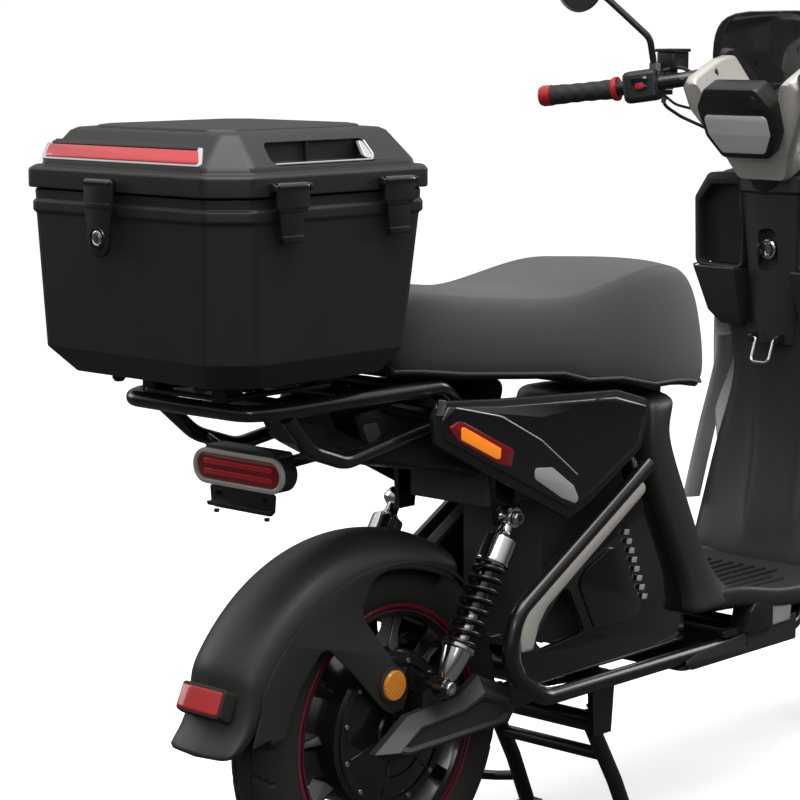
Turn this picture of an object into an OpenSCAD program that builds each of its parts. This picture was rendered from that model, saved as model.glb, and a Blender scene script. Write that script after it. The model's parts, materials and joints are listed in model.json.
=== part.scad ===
// Electric moped scooter with a hub motor, twin rear shocks, a centre stand and a lidded top box.
// Pieces are drawn with X forward and Y to the rider's left, from the ground under the rear axle,
// and from_axle() then moves them to the part's origin at the middle of the footprint.

/* [Overall] */
// Distance between the two axles
wheelbase = 1250; // [1150:10:1500]
// Outer radius of both tyres
tyre_r = 228; // [215:1:240]
// Width of both tyres
tyre_w = 84; // [70:1:92]
// Half the distance between the centre lines of the two side tubes
loop_y = 125; // [115:1:150]

/* [Wheels] */
// Radius of the rim where the tyre sits
rim_r = 160; // [145:1:165]
// Radius of the hub motor
motor_r = 106; // [80:1:115]
// Width of the hub motor over its covers
motor_w = 98; // [80:1:100]
// Radius of the rear axle
axle_r = 8; // [6:0.5:10]
// Radius of the front axle
front_axle_r = 6; // [5:0.5:8]
// Number of spokes in each wheel
spokes = 10; // [5:1:12]

/* [Frame] */
// Radius of the side and rail tubes
tube_r = 11; // [9:0.5:13]
// Height of the lower rail centre line above the ground
rail_z = 246; // [235:1:270]
// Radius of the swing arm pivot bolt
pivot_r = 8; // [6:0.5:10]
// Distance from the rear axle forward to the swing arm pivot
pivot_x = 300; // [290:1:330]
// Radius of the centre stand pivot bolt
stand_pin_r = 6; // [5:0.5:8]
// Radius of the centre stand legs
leg_r = 11; // [9:0.5:12]

/* [Rear suspension] */
// Distance from the centre plane to each shock's axis
shock_y = 100; // [94:1:101]
// Outer radius of the shock spring
spring_r = 24; // [20:0.5:25]
// Radius of the spring wire
wire_r = 3.5; // [2.5:0.5:4]
// Turns in each shock spring
spring_turns = 8; // [6:1:9]
// Radius of the shock damper rod
damper_r = 9; // [7:0.5:11]

/* [Steering] */
// Angle of the steering axis from the vertical
rake = 25; // [22:1:28]
// Radius of the steering stem
stem_r = 15; // [12:0.5:17]
// Radius of the fork inner tubes
stanchion_r = 14; // [12:0.5:16]
// Distance from the centre plane to each fork leg
fork_y = 80; // [76:1:90]
// Offset of the fork legs ahead of the steering axis
fork_offset = 38; // [30:1:45]
// Radius of the handlebar tube
bar_r = 11; // [10:0.5:12.7]
// Radius of the handlebar grips
grip_r = 16; // [14:0.5:18]
// Half the length of the handlebar over the grips
bar_half = 320; // [300:5:350]

/* [Seat] */
// Half width of the seat cushion
seat_half_w = 130; // [115:1:150]
// Thickness of the cushion above its base
seat_t = 100; // [80:1:120]

/* [Top box] */
// Length of the top box over its rim
box_l = 361; // [300:1:400]
// Width of the top box over its rim
box_w = 377; // [290:1:400]
// Height of the top box from its floor to the rim
box_h = 217; // [180:1:260]
// Height of the lid above the rim
lid_h = 72; // [55:1:90]
// Wall thickness of the top box
box_wall = 4; // [3:0.5:6]
// Width of each toggle clip on the lid
clip_w = 50; // [30:2:60]

/* [Covers] */
// Wall thickness of the plastic covers
cover_t = 5; // [3:0.5:6]
// Half width of the leg shield
shield_half_w = 150; // [135:1:170]
// Half width of the floorboard
floor_half_w = 148; // [135:1:165]

/* [Fits] */
// Radial clearance of a running fit
fit = 0.05; // [0.02:0.01:0.09]
// Free gap between covers that move past each other
gap = 2; // [1:0.5:3]

/* [Hidden] */
$fn = 48;

// Places along the scooter that follow the driving dimensions
box_front = -57;
box_rear = box_front - box_l;
box_floor = 715;
box_rim = box_floor + box_h;
lock_proud = 11;
origin_x = (wheelbase + tyre_r + box_rear - lock_proud) / 2;
floor_front = wheelbase - 382;
head_z = 900;
fork_drop = (head_z - tyre_r + sin(rake) * fork_offset) / cos(rake);
head = [wheelbase - sin(rake) * fork_drop - cos(rake) * fork_offset, 0, head_z];
pivot = [pivot_x, 0, 245];
shock_top = [160, shock_y, 491];
shock_low = [31, shock_y, tyre_r + 62];
shock_len = norm(shock_top - shock_low);
shock_tilt = atan2(shock_top.x - shock_low.x, shock_top.z - shock_low.z);
arm_y = motor_w / 2 + 12;
arm_t = 12;
stand_pivot = [341, 0, 180];
stand_tube = loop_y - tube_r - 10;
seat_pin = [565, 0, 606];
lid_pin = [box_front + 8, 0, box_rim - 8];
crown_z = -415;
bolt_r = 5;

function unit(v) = v / norm(v);
function turn(path, i) = acos(unit(path[i] - path[i - 1]) * unit(path[i + 1] - path[i]));
function trim(path, i, bend) = i <= 0 || i >= len(path) - 1 ? 0 : bend * tan(turn(path, i) / 2);
function side(p, s) = [p.x, p.y * s, p.z];
function flip_y(path, s) = [for (p = path) side(p, s)];

// Moves a piece from the rear axle's ground point to the part's origin
module from_axle() translate([-origin_x, 0, 0]) children();

// Draws its children in the steering axis's own frame, with Z along the axis
module on_steering() translate(head) rotate([0, -rake, 0]) children();

// Turns Z to the direction d at the point a
module along(a, d) translate(a) rotate([0, acos(d.z / norm(d)), atan2(d.y, d.x)]) children();

// A round bar between two points
module rod(a, b, r) along(a, b - a) cylinder(h = norm(b - a), r = r);

// A path's own points with each corner turned into an arc
function rounded(path, bend, steps) = [for (i = [0 : len(path) - 1])
    each i == 0 || i == len(path) - 1 ? [path[i]] : arc_points(path, i, bend, steps)];

// The arc that replaces point i of a path
function arc_points(path, i, bend, steps) = let (
    d = unit(path[i] - path[i - 1]), n = unit(cross(d, path[i + 1] - path[i])), inward = cross(n, d),
    c = path[i] - d * trim(path, i, bend) + inward * bend)
    [for (k = [0 : steps]) let (a = turn(path,
        i) * k / steps) c - bend * cos(a) * inward + bend * sin(a) * d];

// Directions along a path, and a side vector carried along it without twist
function tangents(path) = [for (i = [0 : len(path) - 1])
    unit(path[min(i + 1, len(path) - 1)] - path[max(i - 1, 0)])];
function level(n, t) = unit(n - (n * t) * t);
function carried(t, n, i = 0) = i == len(t) ? [] : concat([level(n, t[i])],
    carried(t, level(n, t[i]), i + 1));
function off_axis(t) = abs(t.y) < 0.7 ? [0, 1, 0] : [1, 0, 0];

// A closed tube swept through a path's points, with flat ends
module sweep(path, r, sides) {
    t = tangents(path);
    n = carried(t, off_axis(t[0]));
    ring = [for (i = [0 : len(path) - 1], k = [0 : sides - 1]) let (a = k * 360 / sides)
        path[i] + r * (cos(a) * n[i] + sin(a) * cross(t[i], n[i]))];
    skin(ring, len(path), sides);
}

// A round tube through a few points, with bends of one radius
module pipe(path, r, bend, steps = 4, sides = 12) sweep(rounded(path, bend, steps), r, sides);

// An outline in X and Z given thickness from y0 to y1
module slab(y0, y1) translate([0, y1, 0]) rotate([90, 0, 0]) linear_extrude(y1 - y0) children();

// The same outline on both sides
module slabs(y0, y1) {
    slab(y0, y1) children();
    slab(-y1, -y0) children();
}

// A cross bar along Y through the point p
module cross_bar(p, y0, y1, r) translate([p.x, y1, p.z]) rotate([90, 0, 0]) cylinder(h = y1 - y0, r = r);

// A closed skin over rings of the same number of points
module skin(points, rings, sides) {
    walls = [for (i = [0 : rings - 2], k = [0 : sides - 1]) let (
        a = i * sides + k, b = i * sides + (k + 1) % sides)
        each [[a, b + sides, b], [a, a + sides, b + sides]]];
    first = [for (k = [0 : sides - 1]) k];
    end = [for (k = [sides - 1 : -1 : 0]) (rings - 1) * sides + k];
    polyhedron(points, concat(walls, [first], [end]));
}

// Rounded sections along X, each [x, half width, bottom z, top z]
module loft(sections, sides, power) {
    function bulge(v) = sign(v) * pow(abs(v), 2 / power);
    ring = [for (s = sections) for (k = [0 : sides - 1]) let (a = (k + 0.5) * 360 / sides)
        [s[0], s[1] * bulge(cos(a)), (s[2] + s[3]) / 2 + (s[3] - s[2]) / 2 * bulge(sin(a))]];
    skin(ring, len(sections), sides);
}

// Chamfered rectangles stacked in Z, each [z, rear x, front x, half width, corner]
module stack(sections) {
    ring = [for (s = sections) let (z = s[0], a = s[1], b = s[2], w = s[3], c = s[4]) each [
        [a + c, -w, z], [b - c, -w, z], [b, c - w, z], [b, w - c, z],
        [b - c, w, z], [a + c, w, z], [a, w - c, z], [a, c - w, z]]];
    skin(ring, len(sections), 8);
}

/* Frame */

loop_path = [[420, loop_y, 530], [145, loop_y, 368], [125, loop_y, 300], [200, loop_y, rail_z],
    [floor_front - 90, loop_y, rail_z], [floor_front + 20, 60, rail_z + 40]];

// Round frame tubes that run down each side and under the floor
module side_loops() color("#1a1a1c") from_axle()
    for (s = [-1, 1]) pipe(flip_y(loop_path, s), tube_r, 38);

// Bent seat rail on one side
function seat_rail(s) = flip_y([[462, 85, 578], [420, 85, 560], [150, 85, 585], [20, 85, 640],
    [-60, 85, 660]], s);

module main_frame() color("#1c1c1f") from_axle() difference() {
    union() {
        on_steering() translate([0, 0, -370]) cylinder(h = 180, r = stem_r + 7);
        pipe([head + [137, 0, -295], [floor_front + 85, 0, 400], [floor_front + 20, 0, rail_z + 40]], 18, 60);
        cross_bar([floor_front + 20, 0, rail_z + 40], -48, 48, tube_r);
        for (x = [pivot.x + 45, 560, floor_front - 150]) cross_bar([x, 0, rail_z], -loop_y + tube_r,
            loop_y - tube_r, tube_r);
        for (s = [-1, 1]) pipe(seat_rail(s), tube_r - 1, 50);
        for (p = [[450, 0, 573], [150, 0, 585], [-48, 0, 657]]) cross_bar(p, -85, 85, tube_r - 3);
        for (s = [-1, 1]) rod([405, s * (loop_y - tube_r), 521], [405, s * 85, 562], tube_r - 3);
        slabs(shock_y - 18, shock_y - 10) polygon([[140, 590], [190, 585], [176, 480], [146, 480]]);
        for (s = [-1, 1]) cross_bar([shock_top.x, 0, shock_top.z], s < 0 ? -shock_y - 17 : shock_y - 14,
            s < 0 ? 14 - shock_y : shock_y + 17, bolt_r);
        slabs(arm_y + arm_t + gap, arm_y + arm_t + gap + 8) polygon([[pivot.x - 20, 226],
            [pivot.x + 70, 226], [pivot.x + 70, 262], [pivot.x + 12, 275], [pivot.x - 20, 262]]);
        cross_bar(pivot, -arm_y - arm_t - gap - 6, arm_y + arm_t + gap + 6, pivot_r);
        slabs(stand_tube, stand_tube + 9) polygon([[318, 250], [368, 250], [360, 166], [322, 166]]);
        cross_bar(stand_pivot, -stand_tube - 4, stand_tube + 4, stand_pin_r);
        slabs(22, 28) polygon([[444, 572], [452, 567], [480, 566], [566, 594], [573, 600], [573, 610],
            [568, 614], [557, 614]]);
        cross_bar(seat_pin, -25, 25, bolt_r);
    }
    on_steering() translate([0, 0, -380]) cylinder(h = 220, r = stem_r + fit);
}

/* Rack and tail */

rack_z = 678;
rack_side = [[60, 100, 645], [10, 115, rack_z], [-280, 115, rack_z], [-310, 90, rack_z]];
rack_low = [[-255, 112, rack_z - 8], [-205, 100, 622], [-140, 95, 600], [30, 88, 628]];
tail_bar_x = -193;

module rack() color("#161618") from_axle() {
    for (s = [-1, 1]) {
        pipe(flip_y(rack_side, s), tube_r - 1, 20);
        pipe(flip_y(rack_low, s), tube_r - 2, 28);
    }
    cross_bar([-310, 0, rack_z], -90, 90, tube_r - 1);
    for (x = [-230, -120, -20]) cross_bar([x, 0, rack_z], -115, 115, 8);
    translate([-330, -60, rack_z + 8]) cube([210, 120, box_floor - rack_z - 8]);
    for (s = [-1, 1]) rod([tail_bar_x + 3, s * 97, 616], [tail_bar_x, s * 42, 600], 7);
    cross_bar([tail_bar_x, 0, 600], -46, 46, 8);
}

module undertray() color("#2a2a2c") from_axle() slab(-70, 70)
    polygon([[-140, 645], [-120, 612], [-60, 585], [60, 562], [130, 545], [130, 560], [40, 582],
        [-80, 622], [-110, 650]]);

tail_x = -228;
tail_z = 590;

// A bar with round ends along Y, between two X faces
module pill(x0, x1, z, half_w, half_h) {
    translate([x0, half_h - half_w, z - half_h]) cube([x1 - x0, 2 * (half_w - half_h), 2 * half_h]);
    for (s = [-1, 1]) translate([x0, s * (half_w - half_h), z]) rotate([0, 90, 0])
        cylinder(h = x1 - x0, r = half_h);
}

module tail_light_housing() color("#1b1b1d") from_axle() difference() {
    pill(tail_x, tail_bar_x - 8, tail_z, 78, 21);
    pill(tail_x - 1, tail_bar_x - 14, tail_z, 73, 16);
}

module tail_light_lens() color("#a01018") from_axle() pill(tail_x - 2, tail_bar_x - 14, tail_z, 72.5, 15.5);

module plate_bracket() color("#151517") from_axle() {
    translate([tail_x + 6, -56, 538]) cube([4, 112, 30]);
    translate([tail_x + 6, -40, 538]) cube([30, 80, 4]);
    for (s = [-1, 1]) translate([tail_x + 10, s * 40 - 8, 556]) cube([20, 16, 12.5]);
}

/* Covers */

upper_outline = [[-13, 664], [-26, 645], [-20, 612], [238, 482], [282, 498], [392, 556], [412, 620],
    [340, 640], [98, 654]];

// Gloss side panels under the seat, each on two posts from the seat rails
module upper_panels() color("#101014") from_axle() {
    slabs(loop_y + 4, loop_y + 9) polygon(upper_outline);
    for (s = [-1, 1], p = [[-5, 646], [330, 569]]) rod([p.x, s * (84 + tube_r), p.y],
        [p.x, s * (loop_y + 5), p.y], 5);
}

module signal_lenses() color("#d8300c") from_axle() slabs(loop_y + 9, loop_y + 14)
    polygon([[-6, 620], [8, 638], [118, 588], [106, 568]]);

module lower_covers() color("#0e0e12") from_axle() slabs(loop_y - 20, loop_y - 13)
    polygon([[400, 502], [168, 366], [146, 330], [152, 298], [192, 266], [525, 266], [520, 324], [425, 515]]);

pillar_outline = [[428, 616], [508, 612], [484, 575], [580, 372], [612, 338], [612, 308], [545, 300],
    [530, 330], [440, 525]];

module pillar_cover() color("#3a3a3b") from_axle() difference() {
    slab(-loop_y - 3, loop_y + 3) polygon(pillar_outline);
    slab(-loop_y + 2, loop_y - 2) translate([-6, -6]) polygon([[300, 640], [490, 640], [484, 575], [580, 372],
        [612, 338], [612, 200], [300, 200]]);
    translate([470, -32, 558]) cube([60, 64, 77]);
}

module floorboard() color("#39393a") from_axle() {
    translate([612.5, -floor_half_w, 300]) cube([floor_front - 612.5, 2 * floor_half_w, 8]);
    for (y = [-120 : 30 : 120]) translate([640, y - 4, 307.5]) cube([floor_front - 690, 8, 3]);
    for (s = [-1, 1]) translate([612.5, s * (floor_half_w - 5) - 5, 288]) cube([floor_front - 612.5, 10, 20]);
}

pan_front = floor_front - 106;
pan_z = rail_z - tube_r - 7;

module belly_pan() color("#2e2e2f") from_axle() {
    difference() {
        translate([470, -loop_y - tube_r - 4, pan_z]) cube([pan_front - 470,
            2 * (loop_y + tube_r + 4), 6]);
        translate([480, -20, pan_z - 2]) cube([60, 40, 10]);
        slabs(loop_y + tube_r - 30, loop_y + tube_r + 5) polygon([[469, 0], [530, 0], [530, 300],
            [469, 300]]);
    }
    translate([pan_front - 6, tube_r + 4 - loop_y, pan_z]) cube([6, 2 * (loop_y - tube_r - 4), 50]);
    slabs(loop_y + tube_r + 0.5, loop_y + tube_r + 4) polygon([[530, pan_z], [pan_front, pan_z],
        [pan_front, rail_z + 26], [560, rail_z + 20], [530, rail_z]]);
}

hook_pin = [-26, 0, -250];
hook_r = 2.5;
shield_rear = [[-52, -592], [-14, -488], [0, -412], [-10, -300], [-20, -156], [-30, -102], [-20, -42],
    [-20, -6]];

module leg_shield() color("#38383a") from_axle() difference() {
    shield_shell();
    on_steering() translate([0, 0, -200]) cylinder(h = 240, r = stem_r + 6);
    cross_bar(head + hook_pin, -30, 30, hook_r + fit);
}

// Leg shield with its stem cover and two open pockets
module shield_shell() translate(head) {
    slab(-shield_half_w, shield_half_w)
        polygon(concat([for (p = shield_rear) p + [25, 0]],
            [for (i = [7 : -1 : 0]) shield_rear[i] + [25 + cover_t, 0]]));
    slabs(shield_half_w - cover_t, shield_half_w) polygon([[-20, -592], [18, -488], [32, -412],
        [22, -300], [12, -156],
        [2, -102], [12, -6], [70, -6], [85, -158], [128, -300], [70, -425], [10, -592]]);
    slab(-52, 52) polygon([[4, -330], [-22, -300], [-22, -60], [-8, -12], [6, -12], [6, -60],
        [-6, -102], [6, -160], [14, -300]]);
    for (s = [-1, 1]) translate([-31, s * 24 - 3, -256]) cube([12, 6, 12]);
    for (s = [-1, 1]) difference() {
        translate([-46, s * 98 - 40, -245]) cube([54, 80, 95]);
        translate([-42, s * 98 - 36, -241]) cube([50, 72, 100]);
    }
}

module front_apron() color("#f0f0f0") from_axle() translate([head.x, 0, head.z]) difference() {
    loft([[75, shield_half_w - 8, -330, -10], [150, 118, -325, -30], [200, 78, -310, -60],
        [222, 40, -290, -100]], 16, 3.2);
    loft([[74, shield_half_w - 13, -335, -15], [148, 112, -335, -35], [196, 72, -330, -66],
        [216, 34, -320, -106]], 16, 3.2);
    rotate([0, -rake, 0]) translate([0, 0, -520]) cylinder(h = 180, r = 118);
}

/* Battery under the seat */
module battery_pack() color("#44464a") from_axle() {
    translate([262, -70, 300]) cube([200, 140, 230]);
    translate([320, -40, 530]) cube([80, 80, 8]);
}

/* Top box */

module box_body() color("#1e1e1f") from_axle() {
    lid_hinge();
    box_shell();
}

// Open box with chamfered walls
module box_shell() difference() {
    stack([[box_floor, box_rear + 38, box_front - 46, box_w / 2 - 34, 42],
        [box_floor + 28, box_rear + 13, box_front - 29, box_w / 2 - 12, 39],
        [box_rim - 26, box_rear + 6, box_front - 8, box_w / 2 - 4, 38],
        [box_rim, box_rear + 5, box_front - 7, box_w / 2 - 3, 38]]);
    stack([[box_floor + box_wall, box_rear + 44, box_front - 52, box_w / 2 - 40, 40],
        [box_floor + 30, box_rear + 17, box_front - 33, box_w / 2 - 16, 37.5],
        [box_rim + 1, box_rear + 10, box_front - 12, box_w / 2 - 8, 36.5]]);
}

// Ears and pin on the box's front edge, which carry the lid
module lid_hinge() {
    slabs(40.5, 48) polygon([[box_front - 9, box_rim - 26], [box_front - 9, box_rim - 2],
        [box_front + 13, box_rim - 2],
        [box_front + 14, box_rim - 14]]);
    cross_bar(lid_pin, -44, 44, catch_r);
}

clip_rear_x = box_rear + 93;
clip_front_x = box_front - 95;
clip_y = box_w / 2 + 5;
clip_z = box_rim + 11;
catch_r = 2.5;
hasp_y = 16;
hasp_w = 46;

// A pin between two ears, which holds a catch of width w against the lid's rim
module catch_lugs(w) {
    for (x = [-w / 2 - 4.5, w / 2 + 0.5]) translate([x, -6, -4]) cube([4, 10, 8]);
    rod([-w / 2 - 2, 0, 0], [w / 2 + 2, 0, 0], catch_r);
}

module box_lid() color("#2b2b2c") from_axle() {
    difference() {
        stack([[box_rim + 0.5, box_rear, box_front, box_w / 2, 39],
            [box_rim + 22, box_rear, box_front, box_w / 2, 39],
            [box_rim + 24, box_rear + 10, box_front - 10, box_w / 2 - 10, 39],
            [box_rim + 32, box_rear + 12, box_front - 12, box_w / 2 - 12, 39],
            [box_rim + lid_h - 4, box_rear + 47, box_front - 47, box_w / 2 - 47, 14],
            [box_rim + lid_h, box_rear + 52, box_front - 52, box_w / 2 - 52, 14]]);
        stack([[box_rim, box_rear + 6, box_front - 6, box_w / 2 - 6, 37],
            [box_rim + 17, box_rear + 6, box_front - 6, box_w / 2 - 6, 37],
            [box_rim + 20, box_rear + 15, box_front - 15, box_w / 2 - 15, 37],
            [box_rim + 30, box_rear + 17, box_front - 17, box_w / 2 - 17, 37],
            [box_rim + lid_h - box_wall - 2, box_rear + 52, box_front - 52, box_w / 2 - 52, 14]]);
    }
    for (x = [clip_rear_x, clip_front_x]) {
        translate([x, clip_y, clip_z]) catch_lugs(clip_w);
        translate([x, -clip_y, clip_z]) mirror([0, 1, 0]) catch_lugs(clip_w);
    }
    translate([box_rear - 5, hasp_y, clip_z]) rotate([0, 0, 90]) catch_lugs(hasp_w);
    difference() {
        union() {
            cross_bar(lid_pin, -40, 40, 7);
            slab(-40, 40) polygon([[box_front - 2, box_rim + 12], [box_front - 2, box_rim + 2],
                [box_front + 4, box_rim - 4],
                [box_front + 14, box_rim - 4], [box_front + 10, box_rim + 12]]);
        }
        cross_bar(lid_pin, -41, 41, catch_r + fit);
    }
}

// Toggle clip that hangs from a pin on the lid's rim and reaches over the box's rim
module clip(x, s) mirror([0, s < 0 ? 1 : 0, 0]) difference() {
    slab_x(x - clip_w / 2, x + clip_w / 2, [[clip_y - 2.8, clip_z + 4], [clip_y + 4, clip_z + 4],
        [clip_y + 4, clip_z - 55], [clip_y - 6, clip_z - 61], [clip_y - 6, clip_z - 57],
            [clip_y - 1, clip_z - 50],
        [clip_y - 1, clip_z - 6], [clip_y - 2.8, clip_z - 4]]);
    rod([x - clip_w, clip_y, clip_z], [x + clip_w, clip_y, clip_z], catch_r + fit);
}

// An outline in Y and Z given thickness from x0 to x1
module slab_x(x0, x1, outline) translate([x0, 0, 0]) rotate([90, 0, 90]) linear_extrude(x1 - x0)
    polygon(outline);

module clip_rear_r() color("#19191a") from_axle() clip(clip_rear_x, -1);
module clip_front_r() color("#19191a") from_axle() clip(clip_front_x, -1);
module clip_rear_l() color("#19191a") from_axle() clip(clip_rear_x, 1);
module clip_front_l() color("#19191a") from_axle() clip(clip_front_x, 1);

lock_z = clip_z - 62;
lock_r = 9;

module box_hasp() color("#19191a") from_axle() difference() {
    slab(hasp_y - hasp_w / 2, hasp_y + hasp_w / 2) polygon([[box_rear - 2.2, clip_z + 4],
        [box_rear - 9, clip_z + 4],
        [box_rear - 9, lock_z - 20], [box_rear - 3, lock_z - 20], [box_rear - 3, clip_z - 6],
            [box_rear - 2.2, clip_z - 4]]);
    translate([box_rear - 12, hasp_y, lock_z]) rotate([0, 90, 0]) cylinder(h = 14, r = lock_r + fit);
    cross_bar([box_rear - 5, 0, clip_z], hasp_y - hasp_w, hasp_y + hasp_w, catch_r + fit);
}

module box_lock() color("#c8c8c8") from_axle() translate([box_rear - lock_proud, hasp_y, lock_z])
    rotate([0, 90, 0]) difference() {
    cylinder(h = 14, r = lock_r);
    translate([-5, -1, -1]) cube([10, 2, 3]);
}

/* Seat */

module seat_base() color("#1a1a1b") from_axle() difference() {
    union() {
        slab(-seat_half_w + 16, seat_half_w - 16) polygon([[-72, 694], [100, 688], [260, 668],
            [436, 634], [580, 616], [600, 620],
            [600, 628], [436, 648], [260, 682], [100, 702], [-72, 707]]);
        slab(-21, 21) polygon([[554, 622], [554, 600], [560, 595], [570, 595], [576, 600], [576, 622]]);
    }
    cross_bar(seat_pin, -22, 22, bolt_r + fit);
}

module seat_cushion() color("#3c3b3b") from_axle()
    loft([[-72, 96, 709, 706 + 0.8 * seat_t], [-50, 118, 708, 706 + 0.92 * seat_t],
        [0, seat_half_w - 4, 705, 700 + 0.97 * seat_t],
        [100, seat_half_w, 702.5, 689 + 0.96 * seat_t], [236, seat_half_w, 686, 677 + 0.98 * seat_t],
        [330, seat_half_w - 1, 670, 680 + seat_t], [436, seat_half_w - 4, 649, 695 + seat_t],
            [520, 112, 639, 689 + seat_t],
        [590, 86, 631, 671 + seat_t], [640, 56, 620, 620 + seat_t], [668, 34, 612, 585 + seat_t],
            [682, 16, 618, 560 + seat_t]], 20, 2.8);

/* Swing arm and what it carries */

module swing_arm() color("#1c1c1e") from_axle() difference() {
    union() {
        slabs(arm_y, arm_y + arm_t) polygon([[-26, tyre_r - 14], [26, tyre_r - 18],
            [pivot.x - 14, 227], [pivot.x - 14, 262], [26, tyre_r + 22], [-22, tyre_r + 20]]);
        cross_bar(pivot, -arm_y - arm_t, arm_y + arm_t, 20);
        cross_bar([0, 0, tyre_r], -arm_y - arm_t - 14, arm_y + arm_t + 14, axle_r);
        slabs(arm_y, shock_y - 21) polygon([[12, tyre_r + 17], [56, tyre_r + 17], [46, shock_low.z + 10],
            [20, shock_low.z + 10]]);
        for (s = [-1, 1]) cross_bar([shock_low.x, 0, shock_low.z], s < 0 ? -shock_y - 12 : arm_y + 2,
            s < 0 ? -arm_y - 2 : shock_y + 12, bolt_r);
    }
    cross_bar(pivot, -arm_y - arm_t - 1, arm_y + arm_t + 1, pivot_r + fit);
}

fender_c = [-30, tyre_r - 26];
fender_w = motor_w / 2 + 13;
fender_r = 68 + tyre_r;

module rear_fender() color("#373738") from_axle() {
    translate([fender_c.x, 0, fender_c.y]) rotate([90, 0, 0]) rotate([0, 0, 62]) rotate_extrude(angle = 110)
        polygon([[fender_r - 52, fender_w - 4], [fender_r - 52, fender_w], [fender_r - 22, fender_w - 2],
            [fender_r - 6, fender_w - 26], [fender_r, 12], [fender_r, -12], [fender_r - 6, 26 - fender_w],
            [fender_r - 22, 2 - fender_w], [fender_r - 52, -fender_w], [fender_r - 52, 4 - fender_w],
            [fender_r - 25, 6 - fender_w], [fender_r - 10, 28 - fender_w], [fender_r - 4, -12],
            [fender_r - 4, 12], [fender_r - 10, fender_w - 28], [fender_r - 25, fender_w - 6]]);
    slabs(fender_w - 5.5, fender_w - 1.5) polygon([[-250, tyre_r + 102], [-175, tyre_r + 197],
        [-60, tyre_r + 240], [-10, tyre_r + 234], [-50, tyre_r + 152], [18, tyre_r + 34], [-14, tyre_r + 20],
        [-40, tyre_r + 34], [-90, tyre_r + 122], [-150, tyre_r + 144], [-215, tyre_r + 62]]);
}

module fender_reflectors() color("#c81a1a") from_axle() {
    translate([fender_c.x, 0, fender_c.y]) rotate([0, -156, 0]) translate([fender_r + 0.5, -37, -17])
        cube([13, 74, 34]);
    for (s = [-1, 1]) cross_bar([-30, 0, tyre_r + 69], s < 0 ? -fender_w - 9 : fender_w - 1.5,
        s < 0 ? 1.5 - fender_w : fender_w + 9, 20);
}

module swing_covers() color("#333334") from_axle() difference() {
    slabs(arm_y + arm_t, arm_y + arm_t + 30) polygon([[-76, tyre_r - 8], [-45, tyre_r - 22],
        [181, tyre_r - 16], [178, tyre_r + 30], [112, tyre_r + 54], [80, tyre_r + 34], [-18, tyre_r + 30]]);
    slabs(arm_y + arm_t - 1, arm_y + arm_t + 24) polygon([[-40, tyre_r - 12], [170, tyre_r - 10],
        [168, tyre_r + 24], [110, tyre_r + 42], [70, tyre_r + 24], [-20, tyre_r + 22]]);
    slabs(arm_y + arm_t - 1, arm_y + arm_t + 7) polygon([[8, tyre_r + 2], [60, tyre_r + 2], [60, tyre_r + 72],
        [8, tyre_r + 72]]);
}

/* Wheels */

// Cast rim with spokes round a hub of radius hub_r and width hub_w
module cast_wheel(hub_r, hub_w, bore) rotate([90, 0, 0]) difference() {
    union() {
        translate([0, 0, -hub_w / 2]) cylinder(h = hub_w, r = hub_r);
        rotate_extrude() polygon([[rim_r - 14, -30], [rim_r, -33], [rim_r, 33], [rim_r - 14, 30],
            [rim_r - 8, 20], [rim_r - 8, -20]]);
        for (i = [0 : spokes - 1]) rotate([0, 0, i * 360 / spokes]) translate([hub_r - 8, -7, -14])
            cube([rim_r - hub_r + 4, 14, 28]);
    }
    translate([0, 0, -hub_w]) cylinder(h = 2 * hub_w, r = bore);
}

// Tyre with a round tread
module tyre() rotate([90, 0, 0]) rotate_extrude() difference() {
    intersection() {
        translate([tyre_r - tyre_w / 2, 0]) circle(tyre_w / 2);
        translate([rim_r, -tyre_w / 2]) square([tyre_r, tyre_w]);
    }
    translate([rim_r - 1, -22]) square([tyre_r - rim_r - 20, 44]);
}

module rear_wheel() color("#1f1f20") from_axle() translate([0, 0, tyre_r])
    cast_wheel(motor_r, motor_w, axle_r + fit);
module rear_tyre() color("#141414") from_axle() translate([0, 0, tyre_r]) tyre();
module front_wheel() color("#1f1f20") from_axle() translate([wheelbase, 0, tyre_r])
    cast_wheel(34, 90, front_axle_r + fit);
module front_tyre() color("#141414") from_axle() translate([wheelbase, 0, tyre_r]) tyre();

/* Shocks */

// Draws its children in a shock's own frame: Z up the shock from its lower eye
module on_shock(s) translate([shock_low.x, s * shock_low.y, shock_low.z]) rotate([0, shock_tilt, 0])
    children();

// Eye across the end of a shock
module eye(r, bore) rotate([90, 0, 0]) difference() {
    cylinder(h = 2 * eye_half, r = r, center = true);
    cylinder(h = 3 * eye_half, r = bore, center = true);
}

eye_half = 9.5;
spring_low = 57;
spring_high = shock_len - 64;
rod_top = shock_len - 70;

module shock_body(s) on_shock(s) difference() {
    union() {
        translate([0, 0, shock_len]) eye(14, bolt_r + fit);
        translate([0, 0, spring_high]) cylinder(h = 40, r = spring_r - 3);
        translate([0, 0, spring_high + 30]) cylinder(h = 26, r = eye_half - 0.2);
        translate([0, 0, spring_high]) cylinder(h = 4, r = spring_r + 1);
        translate([0, 0, 112]) cylinder(h = spring_high - 111, r = damper_r + 4);
    }
    translate([0, 0, 100]) cylinder(h = rod_top - 98, r = damper_r + fit);
    translate([0, 0, shock_len]) rotate([90, 0, 0]) cylinder(h = 60, r = bolt_r + fit, center = true);
}

module shock_rod(s) on_shock(s) {
    eye(13, bolt_r + 0.8);
    translate([0, 0, 12]) cylinder(h = spring_low - 12, r = 17);
    translate([0, 0, spring_low - 4]) cylinder(h = 4, r = spring_r + 1);
    translate([0, 0, 50]) cylinder(h = 80, r = damper_r);
}

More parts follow.
